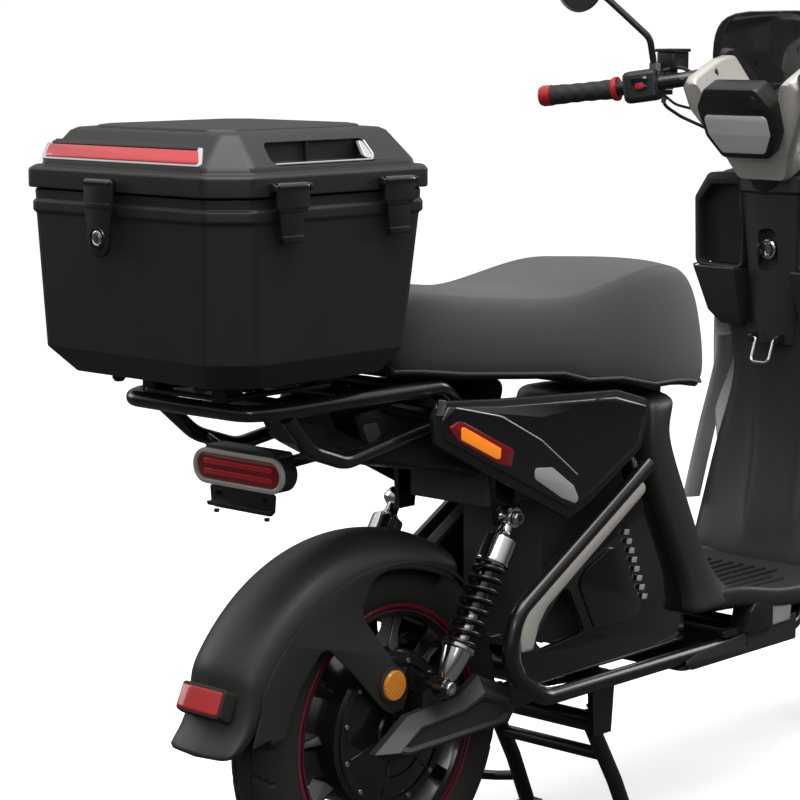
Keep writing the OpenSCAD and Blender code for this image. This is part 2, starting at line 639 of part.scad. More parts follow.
function coil(t) = [(spring_r - wire_r) * cos(t * 360), (spring_r - wire_r) * sin(t * 360),
    spring_low + wire_r + 0.5 + (spring_high - spring_low - 2 * wire_r - 1) * t / spring_turns];

module shock_spring(s) on_shock(s)
    sweep([for (t = [0 : 1 / 14 : spring_turns]) coil(t)], wire_r, 6);

module shock_body_r() color("#c9c9cc") from_axle() shock_body(-1);
module shock_body_l() color("#c9c9cc") from_axle() shock_body(1);
module shock_spring_r() color("#141416") from_axle() shock_spring(-1);
module shock_spring_l() color("#141416") from_axle() shock_spring(1);
module shock_rod_r() color("#c9c9cc") from_axle() shock_rod(-1);
module shock_rod_l() color("#c9c9cc") from_axle() shock_rod(1);

/* Centre stand */

module centre_stand() color("#18181a") from_axle() difference() {
    union() {
        cross_bar(stand_pivot, -stand_tube + gap, stand_tube - gap, 14);
        for (s = [-1, 1]) {
            pipe(flip_y([[341, stand_tube - 14, 180], [396, stand_tube - 12, 84],
                [428, stand_tube - 10, 16]], s), leg_r, 60);
            translate([404, s * (stand_tube - 10) - 16, 0]) cube([50, 32, 9]);
            rod([426, s * (stand_tube - 10), 20], [430, s * (stand_tube - 10), 6], leg_r);
        }
        cross_bar([372, 0, 126], -stand_tube + 14, stand_tube - 14, leg_r - 1);
        pipe([[412, stand_tube - 12, 50], [404, loop_y + 5, 44], [390, loop_y + 25, 44]], 7, 12);
    }
    cross_bar(stand_pivot, -stand_tube, stand_tube, stand_pin_r + fit);
}

/* Steering */

module fork_stem() color("#1a1a1c") from_axle() on_steering() {
    translate([0, 0, crown_z]) cylinder(h = -crown_z + 40, r = stem_r);
    translate([-24, -fork_y - 22, crown_z]) cube([fork_offset + 44, 2 * fork_y + 44, 26]);
    for (s = [-1, 1]) translate([fork_offset, s * fork_y, -650]) cylinder(h = 650 + crown_z, r = stanchion_r);
}

module fork_legs() color("#2a2a2c") from_axle() on_steering() difference() {
    union() {
        for (s = [-1, 1]) translate([fork_offset, s * fork_y, -fork_drop - 26])
            cylinder(h = 225, r = stanchion_r + 7);
        translate([fork_offset, 0, -fork_drop]) rotate([90, 0, 0])
            cylinder(h = 2 * fork_y + 10, r = front_axle_r, center = true);
    }
    for (s = [-1, 1]) translate([fork_offset, s * fork_y, -730]) cylinder(h = 220, r = stanchion_r + fit);
}

module front_fender() color("#1a1a1c") from_axle() {
    translate([wheelbase, 0, tyre_r]) rotate([90, 0, 0]) rotate([0, 0, 35]) rotate_extrude(angle = 115)
        polygon([[tyre_r - 36, guard_w - 4], [tyre_r - 36, guard_w], [tyre_r + 22, guard_w - 16],
            [tyre_r + 26, 0], [tyre_r + 22, 16 - guard_w], [tyre_r - 36, -guard_w], [tyre_r - 36, 4 - guard_w],
            [tyre_r + 18, 18 - guard_w], [tyre_r + 22, 0], [tyre_r + 18, guard_w - 18]]);
    on_steering() for (s = [-1, 1]) mirror([0, s < 0 ? 1 : 0, 0])
        translate([fork_offset - 12, guard_w - 2, 186 - fork_drop])
            cube([24, fork_y - stanchion_r - guard_w - 4, 12]);
}

guard_w = tyre_w / 2 + 8;
bar_root = [-52, 82, 147];
bar_bend = [-96, 106, 138];
grip_root = [-137, 190, 124];
bar_end = [-175, bar_half - 2, 110];

// Steering cover with two raised arms
module bar_cover() color("#b9b4aa") from_axle() on_steering() difference() {
    slab_x(-44, 60, [[-46, 10], [46, 10], [62, 60], [104, 118], [104, 172], [78, 172], [44, 100],
        [-44, 100], [-78, 172], [-104, 172], [-104, 118], [-62, 60]]);
    slab_x(-38, 54, [[-40, 40], [40, 40], [40, 101], [-40, 101]]);
    translate([0, 0, 5]) cylinder(h = 40, r = stem_r + 0.2);
    rotate([0, rake, 0]) for (s = [-1, 1]) mirror([0, s < 0 ? 1 : 0, 0]) {
        rod(2 * bar_root - bar_bend, bar_bend, bar_r + 0.8);
        rod(bar_bend - 0.1 * (grip_root - bar_bend), grip_root, bar_r + 0.8);
    }
}

// Bent bar tube on each side, straight where the grip sits
module handlebar() color("#1a1a1c") from_axle() for (s = [-1, 1]) {
    path = flip_y([bar_root, bar_bend, grip_root, grip_root + 0.1 * (bar_end - grip_root)], s);
    pipe([for (p = path) head + p], bar_r - 0.4, 20);
    rod(head + side(grip_root, s), head + side(bar_end, s), bar_r);
}

module dash() color("#d8dadb") from_axle() on_steering() translate([-72, 0, 0])
    slab_x(0, 26, [[-40, 60], [40, 60], [60, 92], [64, 140], [44, 168], [-44, 168], [-64, 140], [-60, 92]]);

module windshield() color("#2a2c30") from_axle() translate(head + [-104, 0, 128]) rotate([0, -14, 0])
    rotate([0, 0, -50]) rotate_extrude(angle = 100) translate([147, 0]) square([3, 150]);

module headlight() color("#e8e8e8") from_axle() on_steering() translate([60, 0, 62]) rotate([0, 90, 0])
    cylinder(h = 34, r = 46);

// A grip round the bar on one side
module grip(s) difference() {
    rod(head + [-140, s * 200, 122.9], head + [-175, s * bar_half, 110], grip_r);
    rod(head + side(grip_root, s), head + side(bar_end, s), bar_r + fit);
}

module left_grip() color("#1c1c1c") from_axle() grip(1);
module throttle_grip() color("#1c1c1c") from_axle() grip(-1);

lever_pin = [-80, 150, 128];
lever_pin_r = 4;
lever_path = [[-80, 150, 128], [-62, 192, 124], [-76, 240, 120], [-112, bar_half - 8, 112]];

// Brake lever on one side, with a round boss on its pin
module brake_lever(s) difference() {
    union() {
        rod(head + side(lever_pin - [0, 0, 6], s), head + side(lever_pin + [0, 0, 6], s), 9);
        pipe([for (p = flip_y(lever_path, s)) head + p], 4.5, 30);
    }
    rod(head + side(lever_pin - [0, 0, 8], s), head + side(lever_pin + [0, 0, 8], s), lever_pin_r + fit);
}

module brake_lever_l() color("#222224") from_axle() brake_lever(1);
module brake_lever_r() color("#222224") from_axle() brake_lever(-1);

pod_in = [-113, 140, 132];
pod_out = [-136, 187, 124.5];
pod_r = 21;
pod_mid = (pod_in + pod_out) / 2;
press = -unit(cross(pod_out - pod_in, [0, 0, 1]));

// Switch pods on the bar, each with a forked lever bracket, and a socket for the horn button
module switch_pods() color("#1a1a1b") from_axle() difference() {
    for (s = [-1, 1]) mirror([0, s < 0 ? 1 : 0, 0]) translate(head) {
        rod(pod_in, pod_out, pod_r);
        for (z = [-14, 6.5]) translate(lever_pin + [0, 0, z]) {
            cylinder(h = 7.5, r = 9);
            translate([-34, -9, 0]) cube([34, 18, 7.5]);
        }
        rod(lever_pin - [0, 0, 12], lever_pin + [0, 0, 12], lever_pin_r);
    }
    translate(head) rod(pod_mid + 12 * press, pod_mid + 30 * press, 6.6);
    for (s = [-1, 1]) rod(head + [-90, s * 94, 140], head + [-141, s * 198, 122.7], bar_r + fit);
}

module horn_button() color("#c01818") from_axle() translate(head)
    rod(pod_mid + 15.5 * press, pod_mid + 25 * press, 6);

// Round mirror on a bent stem
module mirror_arm(s) {
    pipe(flip_y([head + [-112, 150, 156], head + [-125, 150, 199], head + [-160, 205, 258],
        head + [-168, 238, 276]], s), 5, 15);
    along(head + [-158, s * 250, 282], [-1, 0, 0]) cylinder(h = 16, r = 45);
}

module mirror_l() color("#1a1a1b") from_axle() mirror_arm(1);
module mirror_r() color("#1a1a1b") from_axle() mirror_arm(-1);

/* Controls on the leg shield */

module ignition_key() color("#b0b0b0") from_axle() translate(head + [-22.5, 0, -115]) rotate([0, -90, 0]) {
    cylinder(h = 3, r = 9);
    translate([-9, -1.5, 3]) cube([18, 3, 24]);
}

module bag_hook() color("#b8b8b8") from_axle()
    pipe([for (p = [[0, -26.5, 0], [0, -16, 0], [-14, -16, -35], [-14, 16, -35], [0, 16, 0], [0, 26.5, 0]])
        head + hook_pin + p], hook_r, 5);

cable_path = [[-84, 152, 112], [-66, 168, 98], [-45, 150, 80], [-30, 110, 62], [-20, 68, 58]];

// Brake cables from the levers into the steering cover
module cables() color("#101010") from_axle()
    for (s = [-1, 1]) pipe([for (p = flip_y(cable_path, s)) head + p], 2.5, 18, 5, 8);

main_frame();
side_loops();
rack();
undertray();
tail_light_housing();
tail_light_lens();
plate_bracket();
upper_panels();
signal_lenses();
lower_covers();
pillar_cover();
floorboard();
belly_pan();
leg_shield();
front_apron();
battery_pack();
box_body();
seat_base();
seat_cushion();
box_lid();
clip_rear_r();
clip_front_r();
clip_rear_l();
clip_front_l();
box_hasp();
box_lock();
swing_arm();
rear_fender();
fender_reflectors();
swing_covers();
rear_wheel();
rear_tyre();
shock_body_r();
shock_body_l();
shock_spring_r();
shock_spring_l();
shock_rod_r();
shock_rod_l();
centre_stand();
fork_stem();
bar_cover();
handlebar();
dash();
windshield();
headlight();
left_grip();
throttle_grip();
brake_lever_l();
brake_lever_r();
switch_pods();
horn_button();
mirror_l();
mirror_r();
fork_legs();
front_fender();
front_wheel();
front_tyre();
ignition_key();
bag_hook();
cables();
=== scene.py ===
"""Looks of an electric moped scooter with a top box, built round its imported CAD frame.

Points of the object are given in millimetres from the ground under the rear axle: x forward, y left, z up.
"""

import json
import math

import bmesh
import bpy
from mathutils import Matrix, Vector

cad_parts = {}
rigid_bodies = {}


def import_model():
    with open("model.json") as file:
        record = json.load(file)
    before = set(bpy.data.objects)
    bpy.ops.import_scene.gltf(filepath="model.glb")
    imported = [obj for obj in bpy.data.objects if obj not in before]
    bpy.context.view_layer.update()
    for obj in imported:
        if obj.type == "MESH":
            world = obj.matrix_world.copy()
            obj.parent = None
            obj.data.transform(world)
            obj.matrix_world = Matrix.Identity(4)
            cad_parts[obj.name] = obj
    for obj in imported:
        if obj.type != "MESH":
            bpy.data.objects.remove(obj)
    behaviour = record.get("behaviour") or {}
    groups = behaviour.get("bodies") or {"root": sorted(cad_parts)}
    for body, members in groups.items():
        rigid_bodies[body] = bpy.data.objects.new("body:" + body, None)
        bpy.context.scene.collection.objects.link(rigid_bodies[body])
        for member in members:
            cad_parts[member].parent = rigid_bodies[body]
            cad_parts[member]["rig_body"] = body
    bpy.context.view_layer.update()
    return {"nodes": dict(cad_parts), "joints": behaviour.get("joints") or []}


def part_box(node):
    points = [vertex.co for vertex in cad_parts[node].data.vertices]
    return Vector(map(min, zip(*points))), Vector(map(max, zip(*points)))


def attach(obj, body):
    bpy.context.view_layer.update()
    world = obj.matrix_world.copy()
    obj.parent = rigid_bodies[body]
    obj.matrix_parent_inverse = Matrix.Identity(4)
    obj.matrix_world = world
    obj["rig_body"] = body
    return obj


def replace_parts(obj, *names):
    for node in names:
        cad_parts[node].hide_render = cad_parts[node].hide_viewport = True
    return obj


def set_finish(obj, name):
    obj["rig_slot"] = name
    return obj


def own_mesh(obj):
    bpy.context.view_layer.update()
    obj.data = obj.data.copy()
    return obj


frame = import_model()

MM = 0.001
SIDES = ((-1, "r"), (1, "l"))
RAKE = math.radians(25)


# --- Places -------------------------------------------------------------------------------------

def joint(name):
    """A joint's row in the frame."""
    return next(j for j in frame["joints"] if j["name"] == name)


def joint_at(name):
    """A joint's anchor point in the row frame."""
    return Vector(joint(name)["pos_m"])


def middle(node):
    """The centre of a CAD node's box."""
    low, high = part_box(node)
    return (low + high) / 2


REAR_X = middle("rear_tyre").x
HEAD = joint_at("steering_turn")
WHEELBASE = (middle("front_tyre").x - REAR_X) / MM
TYRE_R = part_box("rear_tyre")[1].z / MM / 2
SLOT_OF = {}
TYRE_HALF = 42
RIM_R = TYRE_R - 66
SPOKE_END = TYRE_R - 78
SPOKES = 10
LOOP_Y = 125
LOOP_R = 11
BAR_R = 11
FORK_Y = 80
LEVER_Y = 150
BOX_REAR = (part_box("box_lid")[0].x - REAR_X) / MM + 9
BOX_FRONT = (joint_at("lid_hinge").x - REAR_X) / MM - 8
BOX_HALF = joint_at("clip_rear_l_pin").y / MM - 5
GRIP_REAR = BOX_REAR + 84
GRIP_FRONT = BOX_REAR + 251
LID_Z = 933
FACET_Z = 965
FACET_IN = 12.5
CAMERA_AT = (-2294.2, -2186.4, 1124.9)
CAMERA_YAW = 42.9
CAMERA_PITCH = -8.507
CAMERA_LENS = 114.16


def at(x, y, z):
    """A point in millimetres from the rear axle's ground point."""
    return Vector((REAR_X + x * MM, y * MM, z * MM))


def by_head(x, y, z):
    """A point in millimetres from the steering head, level with the ground."""
    return HEAD + Vector((x, y, z)) * MM


def on_stem(x, y, z):
    """A point in millimetres from the steering head, with z up the raked steering axis."""
    return HEAD + Matrix.Rotation(-RAKE, 3, "Y") @ Vector((x, y, z)) * MM


# --- Materials ----------------------------------------------------------------------------------

def node(tree, kind, **values):
    """A shader node with some of its inputs or properties set."""
    made = tree.nodes.new(kind)
    for key, value in values.items():
        if key in made.inputs:
            made.inputs[key].default_value = value
        else:
            setattr(made, key, value)
    return made


def noise(tree, place, scale, detail=4.0):
    """A noise texture over the object's own coordinates."""
    made = node(tree, "ShaderNodeTexNoise", Scale=scale, Detail=detail)
    tree.links.new(place.outputs["Object"], made.inputs["Vector"])
    return made


def finish(name, slot, light, dark, rough, spread=0.06, grain=900.0, depth=0.15, cells=False, **sockets):
    """A surface finish: two mingled tones, roughness that varies, and a fine grain.

    slot is its slot on the object. rough is the middle roughness and spread how far it varies. grain is
    the texture's scale, depth its bump.
    Other values go straight on the Principled shader's own sockets, with _ for a space.
    """
    made = bpy.data.materials.new(name)
    SLOT_OF[made.name] = slot
    made.use_nodes = True
    tree = made.node_tree
    shader = tree.nodes["Principled BSDF"]
    place = tree.nodes.new("ShaderNodeTexCoord")
    tones = node(tree, "ShaderNodeMix", data_type="RGBA")
    tones.inputs["A"].default_value = (*dark, 1)
    tones.inputs["B"].default_value = (*light, 1)
    cloud = noise(tree, place, 14.0)
    tree.links.new(cloud.outputs["Fac"], tones.inputs["Factor"])
    tree.links.new(tones.outputs["Result"], shader.inputs["Base Color"])
    wear = node(tree, "ShaderNodeMapRange")
    wear.inputs["To Min"].default_value = max(rough - spread, 0.02)
    wear.inputs["To Max"].default_value = rough + spread
    smudge = noise(tree, place, 45.0, 6.0)
    tree.links.new(smudge.outputs["Fac"], wear.inputs["Value"])
    tree.links.new(wear.outputs["Result"], shader.inputs["Roughness"])
    if cells:
        fine = node(tree, "ShaderNodeTexVoronoi", Scale=grain)
        tree.links.new(place.outputs["Object"], fine.inputs["Vector"])
        height = fine.outputs["Distance"]
    else:
        height = noise(tree, place, grain, 3.0).outputs["Fac"]
    bump = node(tree, "ShaderNodeBump", Strength=depth, Distance=0.0006)
    tree.links.new(height, bump.inputs["Height"])
    tree.links.new(bump.outputs["Normal"], shader.inputs["Normal"])
    for key, value in sockets.items():
        shader.inputs[key.replace("_", " ")].default_value = value
    return made


def lens(name, slot, bright, deep, ribs, glow=0.0):
    """A moulded lens: a ribbed prism pattern under a clear gloss."""
    made = finish(name, slot, bright, deep, 0.14, 0.05, 500.0, 0.05, Coat_Weight=1.0, Coat_Roughness=0.04)
    tree = made.node_tree
    shader = tree.nodes["Principled BSDF"]
    place = next(n for n in tree.nodes if n.bl_idname == "ShaderNodeTexCoord")
    wave = node(tree, "ShaderNodeTexWave", Scale=ribs, Distortion=0.0)
    wave.bands_direction = "DIAGONAL"
    tree.links.new(place.outputs["Object"], wave.inputs["Vector"])
    tones = next(n for n in tree.nodes if n.bl_idname == "ShaderNodeMix")
    tree.links.new(wave.outputs["Fac"], tones.inputs["Factor"])
    if glow:
        shader.inputs["Emission Color"].default_value = (*bright, 1)
        shader.inputs["Emission Strength"].default_value = glow
    return made


BLACK_PLASTIC = finish("textured_black", "satin_black", (0.021, 0.0205, 0.0195), (0.015, 0.0148, 0.0142),
                       0.46, 0.05, 1500, 0.22)
GREY_PLASTIC = finish("satin_dark_grey", "dark_grey", (0.034, 0.0325, 0.031), (0.027, 0.026, 0.0245),
                      0.44, 0.06, 1700, 0.2)
DARK_PLASTIC = finish("satin_black", "satin_black", (0.017, 0.017, 0.017), (0.011, 0.011, 0.011), 0.36,
                      0.06, 1300, 0.15)
GLOSS_BLACK = finish(
    "gloss_black", "gloss_black", (0.006, 0.006, 0.010), (0.004, 0.004, 0.006), 0.16, 0.04, 120, 0.02,
    Coat_Weight=1.0, Coat_Roughness=0.03)
FRAME_BLACK = finish(
    "powder_black", "frame_black", (0.011, 0.011, 0.012), (0.007, 0.007, 0.008), 0.26, 0.06, 700, 0.12,
    Coat_Weight=0.5, Coat_Roughness=0.14)
VINYL = finish("seat_vinyl", "vinyl", (0.043, 0.041, 0.039), (0.033, 0.032, 0.030), 0.56, 0.07, 620, 0.35,
               cells=True, Sheen_Weight=0.25, Sheen_Roughness=0.5)
RUBBER = finish("grip_rubber", "rubber_grip", (0.030, 0.029, 0.028), (0.020, 0.020, 0.019), 0.66, 0.08,
                800, 0.4)
TYRE_RUBBER = finish("tyre_rubber", "tyre_rubber", (0.026, 0.025, 0.024), (0.017, 0.017, 0.016), 0.7,
                     0.08, 500, 0.35)
CAST_BLACK = finish(
    "cast_black", "cast_black", (0.013, 0.013, 0.014), (0.008, 0.008, 0.009), 0.24, 0.06, 600, 0.2,
    Coat_Weight=0.6, Coat_Roughness=0.1)
CHROME = finish("chrome", "chrome", (0.86, 0.86, 0.87), (0.72, 0.72, 0.74), 0.13, 0.05, 90, 0.03,
                Metallic=1.0)
STEEL = finish("zinc_steel", "steel", (0.56, 0.55, 0.53), (0.40, 0.39, 0.38), 0.32, 0.08, 400, 0.15,
               Metallic=1.0)
CHAMPAGNE = finish(
    "champagne_paint", "silver_paint", (0.70, 0.665, 0.62), (0.62, 0.59, 0.55), 0.33, 0.04, 2400, 0.12,
    Metallic=0.3, Coat_Weight=0.4, Coat_Roughness=0.12)
SILVER_PAINT = finish(
    "silver_paint", "silver_paint", (0.64, 0.64, 0.65), (0.56, 0.56, 0.57), 0.3, 0.05, 2200, 0.1,
    Metallic=0.35, Coat_Weight=0.4, Coat_Roughness=0.1)
WHITE_PAINT = finish("white_paint", "silver_paint", (0.78, 0.78, 0.77), (0.72, 0.72, 0.71), 0.2, 0.04,
                     500, 0.03, Coat_Weight=0.8)
# RED_LENS's faint glow is painted light on the lid and fender reflectors, which are no lamps; on the tail
# lamp's bars it stands for the lamp.
RED_LENS = lens("red_lens", "red_lens", (0.60, 0.012, 0.018), (0.47, 0.008, 0.012), 260, 0.05)
DEEP_RED = lens("deep_red_lens", "red_lens", (0.30, 0.006, 0.012), (0.19, 0.003, 0.006), 300)
# AMBER_LENS's faint glow is painted light: it is used only on the strut reflectors, which are no lamps.
AMBER_LENS = lens("amber_lens", "amber_lens", (0.90, 0.34, 0.03), (0.72, 0.20, 0.01), 110, 0.06)
GLOW_AMBER = lens("lit_amber", "amber_lens", (1.0, 0.30, 0.02), (0.85, 0.10, 0.01), 160, 0.5)
RED_RUBBER = finish("red_rubber", "red_button", (0.55, 0.02, 0.03), (0.40, 0.012, 0.02), 0.35, 0.06, 700,
                    0.1, Coat_Weight=0.3)
RIM_RED = finish("rim_red", "red_lens", (0.25, 0.012, 0.035), (0.18, 0.008, 0.025), 0.25, 0.05, 500, 0.05,
                 Coat_Weight=0.6)
SCREEN = finish("pale_screen", "screen", (0.72, 0.74, 0.76), (0.60, 0.62, 0.65), 0.12, 0.03, 60, 0.01,
                Coat_Weight=1.0)
SMOKE = finish(
    "smoked_screen", "smoke", (0.016, 0.016, 0.018), (0.010, 0.010, 0.012), 0.1, 0.03, 60, 0.01,
    Coat_Weight=1.0, Alpha=0.93)
CLEAR = finish("clear_lens", "clear_lens", (0.86, 0.88, 0.90), (0.80, 0.82, 0.85), 0.06, 0.02, 150, 0.05,
               Coat_Weight=1.0)
MIRROR = finish("mirror_glass", "chrome", (0.90, 0.91, 0.92), (0.84, 0.85, 0.87), 0.05, 0.02, 40, 0.005,
                Metallic=1.0)
BATTERY = finish("battery_case", "battery_case", (0.075, 0.078, 0.083), (0.055, 0.058, 0.062), 0.42, 0.06,
                 900, 0.15)


# --- Building blocks ----------------------------------------------------------------------------

def unlinked(obj):
    """Deletes a helper object."""
    bpy.data.objects.remove(obj, do_unlink=True)


def piece(name, points, faces, paint, body, bevel=0.0, levels=0, angle=35.0, ride=True, slot=""):
    """A piece of the object from its points and faces, with smooth shading and soft edges.

    Its slot is its finish's own one, unless another is given.
    """
    mesh = bpy.data.meshes.new(name)
    mesh.from_pydata([tuple(p) for p in points], [], faces)
    work = bmesh.new()
    work.from_mesh(mesh)
    bmesh.ops.remove_doubles(work, verts=work.verts, dist=1e-6)
    bmesh.ops.recalc_face_normals(work, faces=work.faces)
    for face in work.faces:
        face.smooth = True
    work.to_mesh(mesh)
    work.free()
    mesh.materials.append(paint)
    obj = bpy.data.objects.new(name, mesh)
    bpy.context.scene.collection.objects.link(obj)
    if levels:
        soft = obj.modifiers.new("soft", "SUBSURF")
        soft.levels = levels
        soft.render_levels = levels
    elif bevel:
        round_edges(obj, bevel)
    else:
        mesh.set_sharp_from_angle(angle=math.radians(angle))
    if ride:
        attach(obj, body)
        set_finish(obj, slot or SLOT_OF[paint.name])
    return obj


def round_edges(obj, width, segments=2):
    """Small rounded edges with clean shading."""
    edges = obj.modifiers.new("edges", "BEVEL")
    edges.width = width * MM
    edges.segments = segments
    edges.limit_method = "ANGLE"
    edges.angle_limit = math.radians(28)
    shade = obj.modifiers.new("shade", "WEIGHTED_NORMAL")
    shade.keep_sharp = False


def skinned(rings, closed=True, caps=True):
    """Points and faces of a skin over rings with the same number of points each."""
    count = len(rings[0])
    points = [p for ring in rings for p in ring]
    faces = []
    for i in range(len(rings) - 1):
        for k in range(count if closed else count - 1):
            a = i * count + k
            b = i * count + (k + 1) % count
            faces.append((a, b, b + count, a + count))
    if caps:
        faces.append(tuple(range(count)))
        faces.append(tuple(range(len(points) - count, len(points))))
    return points, faces


def rounded(outline, radius=0.0, steps=5):
    """A flat outline with its corners turned into arcs. A third value of a point is its own radius."""
    made = []
    for i, corner in enumerate(outline):
        here = Vector(corner[:2])
        before = Vector(outline[i - 1][:2]) - here
        after = Vector(outline[(i + 1) % len(outline)][:2]) - here
        r = corner[2] if len(corner) > 2 else radius
        turn = before.angle(after)
        if r <= 0 or turn > math.pi - 0.02:
            made.append(here)
            continue
        reach = min(r / math.tan(turn / 2), 0.48 * before.length, 0.48 * after.length)
        r = reach * math.tan(turn / 2)
        start = here + before.normalized() * reach
        end = here + after.normalized() * reach
        centre = here + (before.normalized() + after.normalized()).normalized() * (r / math.sin(turn / 2))
        for k in range(steps + 1):
            spot = centre + ((start - centre).lerp(end - centre, k / steps)).normalized() * r
            made.append(spot)
    return made


def arc(cx, cy, r, start, end, steps):
    """Points on a circle from one angle to another, in degrees."""
    turns = [math.radians(start + (end - start) * k / steps) for k in range(steps + 1)]
    return [(cx + r * math.cos(t), cy + r * math.sin(t)) for t in turns]


def plate(name, loops, place, low, high, paint, body, bevel=0.8, slot=""):
    """A flat plate: an outline, any holes after it, and a thickness from low to high.

    place(u, v, w) turns the outline's u and v and the height w into a point.
    """
    curve = bpy.data.curves.new(name + "_outline", "CURVE")
    curve.dimensions = "2D"
    curve.fill_mode = "BOTH"
    for loop in loops:
        spline = curve.splines.new("POLY")
        spline.points.add(len(loop) - 1)
        for spot, (u, v) in zip(spline.points, [p[:2] for p in loop]):
            spot.co = (u, v, 0, 1)
        spline.use_cyclic_u = True
    edge = min(bevel, (high - low) * 0.45)
    curve.extrude = (high - low) / 2 - edge
    curve.bevel_depth = edge
    curve.bevel_resolution = 1
    curve.offset = -edge
    outline = bpy.data.objects.new(name + "_outline", curve)
    bpy.context.scene.collection.objects.link(outline)
    flat = bpy.data.meshes.new_from_object(outline.evaluated_get(bpy.context.evaluated_depsgraph_get()))
    unlinked(outline)
    points = [place(v.co.x, v.co.y, v.co.z + (low + high) / 2) for v in flat.vertices]
    faces = [tuple(p.vertices) for p in flat.polygons]
    bpy.data.meshes.remove(flat)
    return piece(name, points, faces, paint, body, angle=32, slot=slot)


def side_place(side):
    """Outlines in x and z, and y outward to one side."""
    return lambda u, v, w: at(u, side * w, v)


def on_side(side, points, place=at):
    """Points given for the left side, placed on one side."""
    return [place(x, side * y, z) for x, y, z in points]


def side_name(name, side):
    """A piece's name with its side: l or r."""
    return f"{name}_{'l' if side > 0 else 'r'}"


def smooth_path(path, bend=0.0, steps=6):
    """A path's points with its corners turned into arcs of about one radius."""
    made = [path[0]]
    for i in range(1, len(path) - 1):
        before = path[i - 1] - path[i]
        after = path[i + 1] - path[i]
        turn = before.angle(after)
        if bend <= 0 or turn > math.pi - 0.02:
            made.append(path[i])
            continue
        reach = min(bend * MM / math.tan(turn / 2), 0.48 * before.length, 0.48 * after.length)
        start = path[i] + before.normalized() * reach
        end = path[i] + after.normalized() * reach
        for k in range(steps + 1):
            t = k / steps
            made.append(start * (1 - t) ** 2 + path[i] * 2 * t * (1 - t) + end * t ** 2)
    made.append(path[-1])
    return made


def rings_along(path, radius, sides):
    """Rings of points round a path. radius is one value or one for each point of the path."""
    radii = radius if isinstance(radius, list) else [radius] * len(path)
    rings = []
    side = None
    for i, spot in enumerate(path):
        ahead = (path[min(i + 1, len(path) - 1)] - path[max(i - 1, 0)]).normalized()
        if side is None:
            side = ahead.cross(Vector((0, 1, 0)) if abs(ahead.y) < 0.7 else Vector((1, 0, 0)))
        side = (side - ahead * side.dot(ahead)).normalized()
        up = ahead.cross(side)
        turns = [2 * math.pi * k / sides for k in range(sides)]
        rings.append([spot + (side * math.cos(t) + up * math.sin(t)) * radii[i] * MM for t in turns])
    return rings


def tube(name, path, radius, paint, body, bend=30.0, sides=20, steps=6, slot=""):
    """A round tube through a few points, with closed ends."""
    rings = rings_along(smooth_path(path, bend, steps), radius, sides)
    points, faces = skinned(rings)
    return piece(name, points, faces, paint, body, angle=50, slot=slot)


def lathe(name, profile, centre, axis, paint, body, steps=64, closed=True, angle=35.0, slot=""):
    """A turned piece: a profile of [radius, height] in millimetres spun round an axis through centre."""
    up = Vector(axis).normalized()
    side = up.orthogonal().normalized()
    front = up.cross(side)
    rings = []
    for k in range(steps):
        t = 2 * math.pi * k / steps
        out = side * math.cos(t) + front * math.sin(t)
        rings.append([centre + (out * r + up * h) * MM for r, h in profile])
    count = len(profile)
    points = [p for ring in rings for p in ring]
    faces = []
    for i in range(steps):
        for k in range(count if closed else count - 1):
            a = i * count + k
            b = i * count + (k + 1) % count
            c = ((i + 1) % steps) * count
            faces.append((a, b, c + (k + 1) % count, c + k))
    return piece(name, points, faces, paint, body, angle=angle, slot=slot)


def joined(name, parts):
    """Several pieces of one body and finish as one piece."""
    deps = bpy.context.evaluated_depsgraph_get()
    work = bmesh.new()
    for part in parts:
        shown = bpy.data.meshes.new_from_object(part.evaluated_get(deps))
        shown.transform(part.matrix_world)
        work.from_mesh(shown)
        bpy.data.meshes.remove(shown)
    mesh = bpy.data.meshes.new(name)
    work.to_mesh(mesh)
    work.free()
    mesh.materials.append(parts[0].data.materials[0])
    obj = bpy.data.objects.new(name, mesh)
    bpy.context.scene.collection.objects.link(obj)
    body = parts[0]["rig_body"]
    slot = parts[0]["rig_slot"]
    for part in parts:
        unlinked(part)
    mesh.set_sharp_from_angle(angle=math.radians(35))
    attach(obj, body)
    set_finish(obj, slot)
    return obj


def bolt(name, spot, axis, radius, height, paint, body):
    """A socket-head bolt: a rounded head with a hexagon recess."""
    r, h = radius, height
    profile = [(0, 0), (r, 0), (r, h * 0.7), (r * 0.85, h), (r * 0.55, h), (r * 0.5, h * 0.45),
               (0, h * 0.4)]
    return lathe(name, profile, spot, axis, paint, body, steps=12, closed=False, angle=25)


# --- Stage, lights and camera -------------------------------------------------------------------

